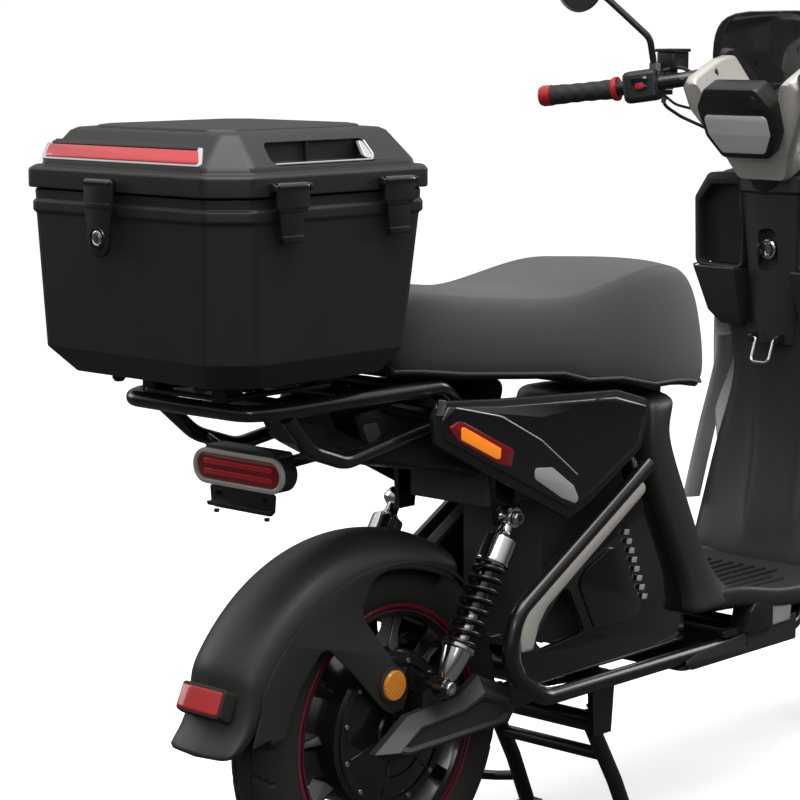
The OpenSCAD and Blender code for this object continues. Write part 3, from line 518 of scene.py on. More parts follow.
def studio():
    """A pale floor and a white surround, lit from above, with a camera behind the scooter's right side.

    The camera sees white all round, while the surfaces see a dark surround, as between a studio's flags.
    """
    scene = bpy.context.scene
    scene.view_settings.view_transform = "Standard"
    world = bpy.data.worlds.new("studio")
    world.use_nodes = True
    tree = world.node_tree
    back = tree.nodes["Background"]
    back.inputs["Color"].default_value = (1, 1, 1, 1)
    place = tree.nodes.new("ShaderNodeTexCoord")
    split = tree.nodes.new("ShaderNodeSeparateXYZ")
    ramp = tree.nodes.new("ShaderNodeMapRange")
    ramp.inputs["From Min"].default_value = 0.05
    ramp.inputs["From Max"].default_value = 0.95
    ramp.inputs["To Min"].default_value = 0.05
    ramp.inputs["To Max"].default_value = 1.0
    path = tree.nodes.new("ShaderNodeLightPath")
    seen = node(tree, "ShaderNodeMix", data_type="FLOAT")
    seen.inputs["B"].default_value = 1.0
    tree.links.new(place.outputs["Generated"], split.inputs["Vector"])
    tree.links.new(split.outputs["Z"], ramp.inputs["Value"])
    tree.links.new(ramp.outputs["Result"], seen.inputs["A"])
    tree.links.new(path.outputs["Is Camera Ray"], seen.inputs["Factor"])
    tree.links.new(seen.outputs["Result"], back.inputs["Strength"])
    scene.world = world
    reach = 60
    mesh = bpy.data.meshes.new("floor")
    mesh.from_pydata([(-reach, -reach, 0), (reach, -reach, 0), (reach, reach, 0), (-reach, reach, 0)], [],
                     [(0, 1, 2, 3)])
    ground = bpy.data.objects.new("floor", mesh)
    scene.collection.objects.link(ground)
    paint = bpy.data.materials.new("pale_floor")
    paint.use_nodes = True
    tree = paint.node_tree
    shader = tree.nodes["Principled BSDF"]
    shader.inputs["Base Color"].default_value = (0.93, 0.93, 0.93, 1)
    shader.inputs["Roughness"].default_value = 0.9
    shader.inputs["Specular IOR Level"].default_value = 0.1
    shader.inputs["Emission Color"].default_value = (1, 1, 1, 1)
    shader.inputs["Emission Strength"].default_value = 0.45
    dim = node(tree, "ShaderNodeBsdfDiffuse", Color=(0.07, 0.07, 0.07, 1))
    both = tree.nodes.new("ShaderNodeMixShader")
    path = tree.nodes.new("ShaderNodeLightPath")
    tree.links.new(path.outputs["Is Camera Ray"], both.inputs[0])
    tree.links.new(dim.outputs["BSDF"], both.inputs[1])
    tree.links.new(shader.outputs["BSDF"], both.inputs[2])
    tree.links.new(both.outputs["Shader"], tree.nodes["Material Output"].inputs["Surface"])
    mesh.materials.append(paint)
    lamp("top", (-0.8, -0.7, 3.4), (-0.1, 0, 0.5), 2.4, 78)
    lamp("camera_side", (-3.4, -2.4, 2.0), (-0.2, 0, 0.7), 0.9, 13)
    lamp("far_side", (-1.5, 3.6, 1.8), (0, 0, 0.6), 1.8, 20)
    lamp("front", (3.4, -1.2, 2.2), (0.3, 0, 0.6), 1.6, 32)


def lamp(name, spot, aim, size, power):
    """A square soft light that faces a point."""
    light = bpy.data.lights.new(name, "AREA")
    light.size = size
    light.energy = power
    obj = bpy.data.objects.new(name, light)
    obj.location = spot
    obj.rotation_mode = "QUATERNION"
    obj.rotation_quaternion = (Vector(aim) - Vector(spot)).to_track_quat("-Z", "Y")
    bpy.context.scene.collection.objects.link(obj)


def camera():
    """A long lens behind the right side, a little above the seat, which looks forward and to the left."""
    lens_data = bpy.data.cameras.new("camera")
    lens_data.lens = CAMERA_LENS
    lens_data.sensor_width = 36
    obj = bpy.data.objects.new("camera", lens_data)
    yaw = math.radians(CAMERA_YAW)
    pitch = math.radians(CAMERA_PITCH)
    look = Vector((math.cos(yaw) * math.cos(pitch), math.sin(yaw) * math.cos(pitch), math.sin(pitch)))
    obj.location = at(*CAMERA_AT)
    obj.rotation_mode = "QUATERNION"
    obj.rotation_quaternion = look.to_track_quat("-Z", "Y")
    bpy.context.scene.collection.objects.link(obj)
    bpy.context.scene.camera = obj


# --- Top box ------------------------------------------------------------------------------------

def octagon(rear, front, half, corner, z):
    """A level rectangle with chamfered and softened corners, its sizes drawn in from the box's own rim."""
    x0, x1, y1 = BOX_REAR + rear, BOX_FRONT - front, BOX_HALF - half
    loop = [(x0 + corner, -y1), (x1 - corner, -y1), (x1, corner - y1), (x1, y1 - corner),
            (x1 - corner, y1), (x0 + corner, y1), (x0, y1 - corner), (x0, corner - y1)]
    return [at(x, y, z) for x, y in rounded(loop, min(16, corner * 0.8), 4)]


def inset_octagon(inset, z, corner=39):
    """The lid's outline drawn in by an inset."""
    return octagon(inset, inset, inset, corner, z)


def top_box():
    """The open box with its stepped rim, its hinge ears and pin, and its feet."""
    rings = [
        octagon(38, 46, 34, 41, 716), octagon(13, 29, 12, 40, 746), octagon(7, 10, 5, 39, 903),
        octagon(4, 6, 2.5, 39, 906), octagon(4, 6, 2.5, 39, 917), octagon(6.5, 8, 5, 39, 919),
        octagon(6, 8, 4.5, 39, 931), octagon(11, 13, 9, 37, 931), octagon(17, 33, 16, 38, 748),
        octagon(44, 52, 40, 40, 721)]
    shell = piece("top_box_shell", *skinned(rings), BLACK_PLASTIC, "chassis", bevel=2.4)
    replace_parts(shell, "box_body")
    ears = [plate(f"box_hinge_ear_{k}", [rounded([(BOX_FRONT - 9, 905), (BOX_FRONT - 9, 930),
                                                  (BOX_FRONT + 13, 931), (BOX_FRONT + 15, 920)], 4)],
                  side_place(1), y, y + 6, DARK_PLASTIC, "chassis") for k, y in enumerate((-47, 41))]
    joined("box_hinge_ears", ears)
    pin = joint_at("lid_hinge")
    lathe("box_hinge_pin", [(0, -47), (2.4, -47), (2.4, 47), (0, 47)], pin, (0, 1, 0), STEEL, "chassis",
          20, closed=False)
    for k, y in enumerate((-70, 70)):
        lathe(f"box_foot_{k}", [(0, 0), (8, 0), (8, -8), (5, -12), (0, -12)], at(-352, y, 717), (0, 0, 1),
              DARK_PLASTIC, "chassis", 24, closed=False)


def grip_slot():
    """The outline of the hand grip's recess in x and z."""
    return rounded([(GRIP_REAR, 967), (GRIP_FRONT, 967), (GRIP_FRONT, 990), (GRIP_REAR + 8, 990)], 7)


def box_lid():
    """The faceted lid with its band, a hand grip recess on each side and a raised top panel."""
    rings = [inset_octagon(9, 953, 37), inset_octagon(7, LID_Z, 38), inset_octagon(0, LID_Z),
             inset_octagon(0, 954.5), inset_octagon(2.5, 957), inset_octagon(11, 958),
             inset_octagon(FACET_IN, FACET_Z), inset_octagon(46, 998, 15), inset_octagon(52, 1001.5, 15),
             inset_octagon(62, 1002.5, 15)]
    lid = piece("lid_shell", *skinned(rings), BLACK_PLASTIC, "lid")
    for side in (-1, 1):
        loop = grip_slot()
        inner = [at(u, side * (BOX_HALF - 44), v) for u, v in loop]
        outer = [at(u, side * (BOX_HALF + 10), v) for u, v in loop]
        cutter = piece(f"cutter_{side + 1}", *skinned([inner, outer]), DARK_PLASTIC, "lid", ride=False)
        cut(lid, cutter)
        slot_highlights_and_rib(side)
    round_edges(lid, 1.8)
    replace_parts(lid, "box_lid")
    top = [octagon(56, 56, 72, 22, 1001), octagon(58, 58, 74, 22, 1004.5), octagon(66, 66, 84, 20, 1006),
           octagon(110, 110, 120, 20, 1007)]
    piece("lid_top_panel", *skinned(top), BLACK_PLASTIC, "lid", bevel=1.2)
    pin = joint_at("lid_hinge")
    lathe("lid_knuckle", [(0, -39), (6.8, -39), (6.8, 39), (0, 39)], pin, (0, 1, 0), DARK_PLASTIC, "lid",
          28, closed=False)
    strap = rounded([(BOX_FRONT - 10, 945), (BOX_FRONT - 10, 934), (BOX_FRONT + 4, 926),
                     (BOX_FRONT + 12, 926), (BOX_FRONT + 10, 944)], 3)
    plate("lid_hinge_strap", [strap], side_place(1), -38, 38, DARK_PLASTIC, "lid")


def cut(obj, cutter):
    """Cuts one mesh out of another for good."""
    tool = obj.modifiers.new("cut", "BOOLEAN")
    tool.object = cutter
    tool.operation = "DIFFERENCE"
    tool.solver = "EXACT"
    made = bpy.data.meshes.new_from_object(obj.evaluated_get(bpy.context.evaluated_depsgraph_get()))
    obj.modifiers.remove(tool)
    old = obj.data
    obj.data = made
    bpy.data.meshes.remove(old)
    unlinked(cutter)
    for face in obj.data.polygons:
        face.use_smooth = True


def slot_highlights_and_rib(side):
    """A grip recess's lower lip and the wall at its front end, both in silver paint as painted highlights
    where light catches them, and a rib inside.
    """
    back, front = GRIP_REAR, GRIP_FRONT

    def out(z):
        return side * (BOX_HALF - FACET_IN - (z - FACET_Z))
    # The silver tube along the recess's lower lip is a painted highlight.
    low = [at(back + 4, out(967), 967.5), at(front - 8, out(967), 967.5), at(front - 1, out(973), 973),
           at(front, out(989), 988)]
    tube(side_name("grip_lip_highlight", side), low, 1.3, SILVER_PAINT, "lid", 6, 10)
    # The silver piece at the recess's front end is a painted highlight on that wall.
    end = rounded([(front - 16, 969), (front - 2, 969), (front - 2, 988), (front - 8, 988)], 3)
    rings = [[at(u, side * (BOX_HALF - 13.5 - (v - 965)) - side * deep, v) for u, v in end]
             for deep in (0, 6)]
    piece(side_name("grip_end_highlight", side), *skinned(rings), SILVER_PAINT, "lid", bevel=0.8)
    rib = [(back + 76, 968), (back + 79, 968), (back + 79, 989), (back + 76, 989)]
    plate(side_name("grip_rib", side), [rib], side_place(side), BOX_HALF - 46, BOX_HALF - 40,
          DARK_PLASTIC, "lid", 0.4)


def rear_reflector():
    """The plain red strip on the lid's rear facet, over a silver trim."""
    def on_facet(u, v, w):
        """u across, v up the facet from its lower edge, w proud of it."""
        slope = Vector((33.5, 0, 33)).normalized()
        out = Vector((-33, 0, 33.5)).normalized()
        return at(BOX_REAR + FACET_IN, u, FACET_Z) + (slope * v + out * w) * MM
    trim = rounded([(-135, 1), (140, 1), (150, 26), (136, 29), (-116, 29)], 4)
    plate("reflector_trim", [trim], on_facet, -1.5, 1.4, SILVER_PAINT, "lid", 0.7)
    strip = rounded([(-129, 4), (134, 4), (141, 23), (-114, 23)], 3)
    plate("lid_reflector", [strip], on_facet, 1.0, 2.8, RED_LENS, "lid", 0.6)
    cap = rounded([(-114, 24), (142, 24), (134, 31), (-106, 31)], 2)
    plate("reflector_cap", [cap], on_facet, -1.0, 3.2, DARK_PLASTIC, "lid", 0.6)


def clip(which, side):
    """A toggle clip: a knuckle on its pin, a stepped plate and a hooked lower end."""
    name = f"clip_{which}_{'l' if side > 0 else 'r'}"
    pin = joint_at(name + "_pin")
    low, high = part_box(name)
    half = (high.x - low.x) / 2 / MM

    def face(u, v, w):
        return pin + Vector((u, side * w, v)) * MM
    parts = [plate("a", [rounded([(-half, 4), (half, 4), (half, -24), (-half, -24)], 3)], face, -0.8, 4.2,
                   DARK_PLASTIC, name, 1.2),
             plate("b", [rounded([(-half + 5, -20), (half - 6, -20), (half - 9, -59), (-half + 9, -59)],
                                 3)], face, -2.0, 2.4, DARK_PLASTIC, name, 1.0),
             plate("c", [rounded([(-half + 8, -53), (half - 8, -53), (half - 10, -61), (-half + 10, -61)],
                                 2)], face, -5.5, 4.0, DARK_PLASTIC, name, 1.2),
             plate("d", [rounded([(-half + 2, -23), (half - 2, -23), (half - 3, -27), (-half + 3, -27)],
                                 1)], face, -1, 3.4, DARK_PLASTIC, name, 0.8)]
    body = joined(name + "_plate", parts)
    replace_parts(body, name)
    knuckle = [(2.7, 2 - half), (5.4, 2 - half), (5.8, 4 - half), (5.8, half - 4), (5.4, half - 2),
               (2.7, half - 2)]
    lathe(name + "_knuckle", knuckle, pin, (1, 0, 0), GLOSS_BLACK, name, 24)
    lathe(name + "_axle", [(0, -half - 4), (2.4, -half - 4), (2.4, half + 4), (0, half + 4)], pin,
          (1, 0, 0), STEEL, "lid", 16, closed=False)
    lugs = [
        plate(f"lug{k}", [rounded([(-4, -4), (4.5, -4), (4.5, 3), (0, 5), (-6, 5)], 2)],
              lambda u, v, w: pin + Vector((w, side * u, v)) * MM, x, x + 3.6, DARK_PLASTIC, "lid", 0.6)
        for k, x in enumerate((-half - 4.2, half + 0.6))]
    joined(name + "_lugs", lugs)


def hasp():
    """The tapered hasp at the back of the box, with its chrome lock and key slot."""
    pin = joint_at("hasp_pin")
    lock = joint_at("lid_lock_turn")
    drop = (lock.z - pin.z) / MM

    def face(u, v, w):
        return Vector((pin.x - w * MM, lock.y + u * MM, pin.z + v * MM))
    foot = arc(0, drop - 4, 18, 0, -180, 14)
    outline = rounded([(-20, drop + 16), (-24, -26), (-24, 4, 3), (24, 4, 3), (24, -26), (20, drop + 16)])
    plate_obj = plate("hasp_plate", [outline + foot], face, -1.2, 4.0, DARK_PLASTIC, "hasp", 1.2)
    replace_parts(plate_obj, "box_hasp")
    step = rounded([(-23, -22), (23, -22), (22, -28), (-22, -28)], 1)
    plate("hasp_step", [step], face, 3.2, 5.2, DARK_PLASTIC, "hasp", 0.8)
    knuckle = [(2.7, -22), (5.2, -22), (5.2, 22), (2.7, 22)]
    lathe("hasp_knuckle", knuckle, Vector((pin.x, lock.y, pin.z)), (0, 1, 0), GLOSS_BLACK, "hasp", 24)
    seat = Vector((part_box("box_hasp")[0].x, lock.y, lock.z))
    lathe("lock_bezel", [(9.3, -1.5), (13, -1.0), (12, 1.6), (9.4, 1.8)], seat, (-1, 0, 0), GLOSS_BLACK,
          "hasp", 40)
    barrel = lathe("lock_barrel", [(0, -5), (8.8, -5), (8.8, 1.4), (7.6, 2.0), (6.6, 1.2), (5.5, 1.2),
                                   (5.2, 1.8), (0, 1.8)], seat, (-1, 0, 0), CHROME, "lid_lock", 40,
                   closed=False)
    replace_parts(barrel, "box_lock")
    slot = rounded([(-0.9, -3.6), (0.9, -3.6), (0.9, 3.6), (-0.9, 3.6)], 0.6)
    plate("lock_keyway", [slot], lambda u, v, w: seat + Vector((-w, u, v)) * MM, 1.2, 2.1, DARK_PLASTIC,
          "lid_lock", 0.2)


# --- Rack and tail ------------------------------------------------------------------------------

def rack():
    """Luggage rack of round tube, with the plate that carries the box."""
    parts = []
    for side in (-1, 1):
        top = on_side(side, ((60, 100, 645), (10, 115, 678), (-280, 115, 678), (-306, 96, 678)))
        low = on_side(side, ((-255, 112, 670), (-205, 100, 622), (-140, 95, 600), (30, 88, 628)))
        parts.append(tube("a", top, 10, FRAME_BLACK, "chassis", 34))
        parts.append(tube("b", low, 9.5, FRAME_BLACK, "chassis", 60))
        arm = [at(-190, side * 97, 616), at(-196, side * 60, 604), at(-196, 0, 602)]
        parts.append(tube("c", arm, 7.5, FRAME_BLACK, "chassis", 30))
    rear = [at(-270, -116, 678), at(-310, -100, 678), at(-312, 0, 678), at(-310, 100, 678),
            at(-270, 116, 678)]
    parts.append(tube("d", rear, 10, FRAME_BLACK, "chassis", 40))
    parts += [tube("e", [at(x, -114, 678), at(x, 114, 678)], 7.5, FRAME_BLACK, "chassis",
                   0) for x in (-230, -120, -20)]
    whole = joined("rack_tubes", parts)
    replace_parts(whole, "rack")
    holes = [rounded([(x, y - 12), (x + 46, y - 12), (x + 46, y + 12), (x, y + 12)],
                     8) for x in (-292, -220) for y in (-42, 0, 42)]
    plate("box_mount_plate", [rounded([(-318, -74), (-130, -74), (-130, 74), (-318, 74)], 16), *holes],
          at, 690, 694, FRAME_BLACK, "chassis", 0.8)
    blocks = [plate(f"k{x}{y}", [rounded([(x - 16, y - 12), (x + 16, y - 12), (x + 16, y + 12),
                                          (x - 16, y + 12)], 4)], at, 688, 716, DARK_PLASTIC, "chassis",
                    1.5) for x in (-300, -150) for y in (-60, 60)]
    joined("box_mount_blocks", blocks)


def undertray():
    """The shaped tray under the tail of the seat, with its grey mounting piece."""
    spine = [(-140, 645), (-120, 612), (-60, 585), (60, 562), (130, 545)]
    rings = []
    for x, z in spine:
        half = 76 if x > -100 else 62
        rings.append([at(x, -half, z + 22), at(x, -half + 6, z + 2), at(x, -half + 22, z - 4),
                      at(x, half - 22, z - 4), at(x, half - 6, z + 2), at(x, half, z + 22),
                      at(x, half - 14, z + 12), at(x, 14 - half, z + 12)])
    tray = piece("tail_tray", *skinned(rings), DARK_PLASTIC, "chassis", bevel=1.6)
    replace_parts(tray, "undertray")
    for side in (-1, 1):
        cheek = rounded([(-108, 652), (20, 664), (60, 640), (130, 600), (128, 548), (60, 566), (-60, 592),
                         (-92, 616)], 9)
        plate(side_name("tail_cheek", side), [cheek], side_place(side), 76, 82, DARK_PLASTIC, "chassis",
              1.5)
        tab = rounded([(-102, 640), (-74, 640), (-66, 622), (-88, 614)], 5)
        plate(side_name("tail_tab", side), [tab], side_place(side), 82, 86, BATTERY, "chassis", 1,
              slot="dark_grey")


def stadium(half_w, half_h, steps=12):
    """An outline with round ends."""
    flat = half_w - half_h
    return arc(flat, 0, half_h, -90, 90, steps) + arc(-flat, 0, half_h, 90, 270, steps)


def tail_light():
    """The stadium-shaped lamp: a housing, bezel, red lens with two lit bars, and the plate bracket."""
    low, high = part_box("tail_light_housing")
    mid_z = (low.z + high.z) / 2 / MM
    rear_x = (low.x - REAR_X) / MM

    def rear(u, v, w):
        """u across, v up from the lamp's middle, w forward from its rear face."""
        return at(rear_x + w, u, mid_z + v)
    shell = [[rear(u * k, v * k, w) for u, v in stadium(78, 21.5)] for w,
             k in ((3, 0.985), (6, 1.0), (24, 0.99), (30, 0.93))]
    house = piece("tail_lamp_housing", *skinned(shell), DARK_PLASTIC, "chassis", bevel=1.2)
    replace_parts(house, "tail_light_housing")
    plate("tail_lamp_bezel", [stadium(78.5, 22), stadium(72, 15.8)], rear, -1.5, 4.5, CHAMPAGNE,
          "chassis", 1.6)
    glass = [[rear(u * k, v * k, w) for u, v in stadium(72, 15.8)] for w,
             k in ((3, 1.0), (0.6, 0.985), (-0.2, 0.94), (-0.4, 0.6))]
    lens_piece = piece("tail_lamp_lens", *skinned(glass), DEEP_RED, "chassis", angle=50)
    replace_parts(lens_piece, "tail_light_lens")
    for k, v in enumerate((6.2, -6.2)):
        plate(f"tail_lamp_bar_{k}", [[(u, v + w * 0.8) for u, w in stadium(60, 4)]], rear, -1.3, 0.4,
              RED_LENS, "chassis", 0.7)
    hood = rounded([(-64, 19), (64, 19), (58, 26), (-58, 26)], 3)
    plate("tail_lamp_hood", [hood], rear, 4, 34, DARK_PLASTIC, "chassis", 1)
    board = rounded([(-56, -24), (56, -24), (54, -46), (48, -51), (-48, -51), (-54, -46)], 3)
    bracket = plate("plate_bracket_board", [board], rear, 6, 11, DARK_PLASTIC, "chassis", 1)
    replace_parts(bracket, "plate_bracket")
    plate("plate_bracket_lip", [rounded([(-54, -43), (54, -43), (52, -48), (-52, -48)], 1)], rear, -2, 7,
          DARK_PLASTIC, "chassis", 1)
    for k, (u, v) in enumerate(((-40, -32), (40, -32), (-44, -53), (44, -53))):
        bolt(f"bracket_screw_{k}", rear(u, v, 6), (-1, 0, 0) if v > -40 else (0, 0, -1), 3.4, 4,
             GLOSS_BLACK, "chassis")


# --- Rear fender, swing arm, shocks -------------------------------------------------------------

FENDER_C = (-30.0, 202.0)
FENDER_R = 287.0
TAIL_FROM = 148
STRUT_EYE = (-24, 297)


def fender_radius(t):
    """The fender crest's radius at an angle: steady, then drawn in and flared out as a tail."""
    if t < TAIL_FROM:
        return FENDER_R
    k = (t - TAIL_FROM) / 22
    return FENDER_R - 20 * math.sin(min(k, 1.0) * math.pi * 0.78) + 9 * max(k - 0.55, 0) ** 1.5 * 4


def rear_fender():
    """The crowned fender with side walls, a strut to the axle on each side, and a flared tail."""
    rings = []
    for k in range(0, 38):
        t = 57 + k * 3.05
        r = fender_radius(t)
        flare = max((t - 150) / 20, 0)
        wide = 62 - 10 * flare
        profile = [
            (0, 0), (14, 0.9), (30, 4.2), (44, 10.5), (53, 17.5), (58, 25), (wide, 34), (wide + 0.5, 46),
            (wide - 3, 46), (wide - 4, 34), (54, 27), (49, 21), (40, 14), (26, 7.8), (12, 4.4), (0, 4)]
        squeeze = 1 - 0.62 * flare
        turn = math.radians(t)
        ring = []
        for side in (1, -1):
            line = profile if side > 0 else profile[-2:0:-1]
            for y, drop in line:
                reach = r - drop * (squeeze if drop > 4 else 1)
                ring.append(at(FENDER_C[0] + reach * math.cos(turn), side * min(y, wide + 1),
                               FENDER_C[1] + reach * math.sin(turn)))
        rings.append(ring)
    crown = piece("fender_crown", *skinned(rings), GREY_PLASTIC, "swing", levels=1)
    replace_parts(crown, "rear_fender")
    cx, cz = FENDER_C
    outer = arc(cx, cz, 251, 57, 150, 24) + arc(cx, cz, 243, 155, 165, 4)
    inner = rounded([(-252, 262, 8), (-212, 266, 10), (-203, 292, 30), (-184, 326, 30), (-143, 369, 16),
                     (-92, 322, 30), (-42, 270, 6), (-24, 258, 16), (-2, 262, 14), (8, 286, 12),
                     (-30, 338, 40), (-80, 398, 22), (-58, 438, 26), (-17, 449, 60), (40, 446, 60),
                     (104, 428, 4)], 10)
    for side in (-1, 1):
        plate(side_name("fender_wall", side), [outer + list(inner)], side_place(side), 59.5, 63.2,
              GREY_PLASTIC, "swing", 1.4)
        boss = arc(*STRUT_EYE, 24, 0, 360, 28)[:-1]
        plate(side_name("strut_boss", side), [boss], side_place(side), 62, 66.5, GREY_PLASTIC, "swing",
              1.6)


def fender_reflectors():
    """A hooded red reflector on the tail, and a ribbed amber one on each strut."""
    turn = math.radians(156)
    out = Vector((math.cos(turn), 0, math.sin(turn)))
    up = Vector((math.sin(turn), 0, -math.cos(turn)))
    base = at(FENDER_C[0], 0, FENDER_C[1]) + out * 270 * MM

    def face(u, v, w):
        """u across, v up, w out from the fender."""
        return base + (Vector((0, u, 0)) + up * v + out * w) * MM
    shell = []
    for w, k, lift in ((-2, 1.0, 0), (6, 1.0, 0), (15, 0.96, 1), (18, 0.94, 1)):
        shell.append([face(u * k, v * k + lift, w) for u,
                      v in rounded([(-40, -19), (40, -19), (40, 19), (-40, 19)], 5)])
    piece("reflector_hood", *skinned(shell), GREY_PLASTIC, "swing", bevel=0.8)
    red = plate("tail_reflector", [rounded([(-35, -14), (35, -14), (35, 15), (-35, 15)], 3)], face, 17,
                20, RED_LENS, "swing", 0.8)
    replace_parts(red, "fender_reflectors")
    for side in (-1, 1):
        spot = at(STRUT_EYE[0], side * 66, STRUT_EYE[1])
        lathe(side_name("amber_reflector", side), [(0, 0), (19.5, 0), (19.5, 3), (18, 4.6), (10, 5.2),
                                                   (0, 5.4)], spot, (0, side, 0), AMBER_LENS, "swing", 48,
              closed=False)


def swing_covers():
    """The faceted pointed shell over each side of the swing arm."""
    base = [(-78, 221), (-46, 205), (178, 211), (190, 226), (180, 256), (116, 287), (80, 266), (-18, 259)]
    ridge = [(-52, 222), (-36, 216), (150, 221), (162, 230), (156, 248), (110, 268), (70, 254),
             (-12, 248)]
    for side in (-1, 1):
        def ring(outline, y):
            return [at(x, side * y, z) for x, z in outline]
        rings = [ring(base, 74), ring(base, 84), ring(ridge, 103)]
        inner = [(x * 0.9 + 6, 235 + (z - 235) * 0.62) for x, z in ridge]
        rings += [ring([(x * 0.965 + 2, 235 + (z - 235) * 0.84) for x, z in ridge], 103.5),
                  ring(inner, 99)]
        shell = piece(side_name("swing_cover", side), *skinned(rings), GREY_PLASTIC, "swing", bevel=1.8)
        if side < 0:
            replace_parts(shell, "swing_covers")
        bolt(side_name("swing_cover_bolt", side), at(184, side * 82, 268), (0, side, 0), 8, 6, CHROME,
             "swing")


def axle_hardware():
    """The flanged nut, torque plate and motor cable at each end of the rear axle."""
    for side in (-1, 1):
        centre = at(0, side * 74, TYRE_R)
        lathe(side_name("axle_washer", side), [(8.4, 0), (19, 0), (19, 2.6), (8.4, 2.6)], centre,
              (0, side, 0), STEEL, "swing")
        lathe(side_name("axle_nut", side), [(8.2, 2.6), (13.5, 2.6), (13.5, 12), (11, 14), (8.2, 14)],
              centre, (0, side, 0), GLOSS_BLACK, "swing", 6, angle=20)
        plate(side_name("drop_out", side), [rounded([(-32, 206), (30, 206), (34, 250), (-26, 252)], 10)],
              side_place(side), 68, 74.5, FRAME_BLACK, "swing", 1)
    cable = [at(4, -58, 240), at(30, -66, 262), at(70, -70, 275), at(120, -66, 262), at(190, -60, 256)]
    tube("motor_cable", cable, 4.5, RUBBER, "swing", 40, 12, slot="cable_black")


def spring(name, low, high, radius, wire, turns, body):
    """A coil spring round the line from low to high, with its end turns drawn flat."""
    along = high - low
    up = along.normalized()
    side = up.orthogonal().normalized()
    front = up.cross(side)
    steps = int(turns * 28)
    path = []
    for k in range(steps + 1):
        t = k / steps
        turn = 2 * math.pi * turns * t
        rise = min(max((t - 0.06) / 0.88, 0), 1)
        path.append(low + along * rise + (side * math.cos(turn) + front * math.sin(turn)) * radius * MM)
    rings = []
    for i, spot in enumerate(path):
        ahead = (path[min(i + 1, steps)] - path[max(i - 1, 0)]).normalized()
        out = (up - ahead * up.dot(ahead)).normalized()
        over = ahead.cross(out)
        turns_round = [2 * math.pi * k / 10 for k in range(10)]
        rings.append([spot + (out * math.cos(a) + over * math.sin(a)) * wire * MM for a in turns_round])
    return piece(name, *skinned(rings), FRAME_BLACK, body, angle=60, slot="spring_black")


def shock(side, tag):
    """One spring-over damper: chrome cap and eye above, coil, chrome rod end below."""
    top = joint_at(f"shock_eye_{tag}")
    rod = joint(f"shock_stroke_{tag}")
    up = Vector(rod["axis"]).normalized()
    low = Vector(((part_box(f"shock_rod_{tag}")[0].x + 13 * MM), top.y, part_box(f"shock_rod_{tag}")[0].z
                  + 13 * MM))
    length = (top - low).length / MM
    upper = "shock_upper_" + tag
    lower = "shock_lower_" + tag
    cap_low = length - 64
    lathe(f"shock_eye_top_{tag}", [(5.2, -9.5), (13, -9.5), (14, -8), (14, 8), (13, 9.5), (5.2, 9.5)],
          top, (0, 1, 0), CHROME, upper, 40)
    bush = [(5.1, -9.8), (8.5, -9.8), (8.5, 9.8), (5.1, 9.8)]
    lathe(f"shock_bush_top_{tag}", bush, top, (0, 1, 0), RUBBER, upper, 32)
    cap = [(0, length - 9), (8.6, length - 10), (9.2, length - 22), (13, length - 27),
           (20.5, length - 31), (21.6, length - 34), (21.6, cap_low + 3), (22.4, cap_low + 1),
           (22.4, cap_low - 2), (17, cap_low - 2), (14, cap_low - 8), (9.4, cap_low - 8),
           (9.4, length - 34), (0, length - 34)]
    body = lathe(f"shock_cap_{tag}", cap, low, up, CHROME, upper, 56, closed=False)
    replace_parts(body, f"shock_body_{tag}")
    sleeve = [(13, 113), (12.4, cap_low - 6), (9.3, cap_low - 6), (9.3, 101), (13, 101)]
    lathe(f"shock_sleeve_{tag}", sleeve, low, up, GLOSS_BLACK, upper, 40)
    coil = spring(f"shock_coil_{tag}", low + up * 60 * MM, low + up * (cap_low - 4) * MM, 19.6, 3.1, 8.5,
                  upper)
    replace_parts(coil, f"shock_spring_{tag}")
    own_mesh(coil)
    foot = [(0, 9), (9.5, 10), (12.5, 16), (17.5, 40), (19.2, 50), (22.6, 52.5), (22.6, 56.5), (9.1, 57),
            (9, 128), (0, 128)]
    rod_piece = lathe(f"shock_foot_{tag}", foot, low, up, CHROME, lower, 56, closed=False)
    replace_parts(rod_piece, f"shock_rod_{tag}")
    lathe(f"shock_eye_low_{tag}", [(5.9, -9.4), (12, -9.4), (13, -8), (13, 8), (12, 9.4), (5.9, 9.4)],
          low, (0, 1, 0), CAST_BLACK, lower, 40)
    bolt(f"shock_bolt_top_{tag}", top + Vector((0, side * 11, 0)) * MM, (0, side, 0), 9, 6, STEEL,
         "chassis")
    bolt(f"shock_bolt_low_{tag}", low + Vector((0, side * 10, 0)) * MM, (0, side, 0), 9, 6, STEEL,
         "swing")


# --- Wheels -------------------------------------------------------------------------------------

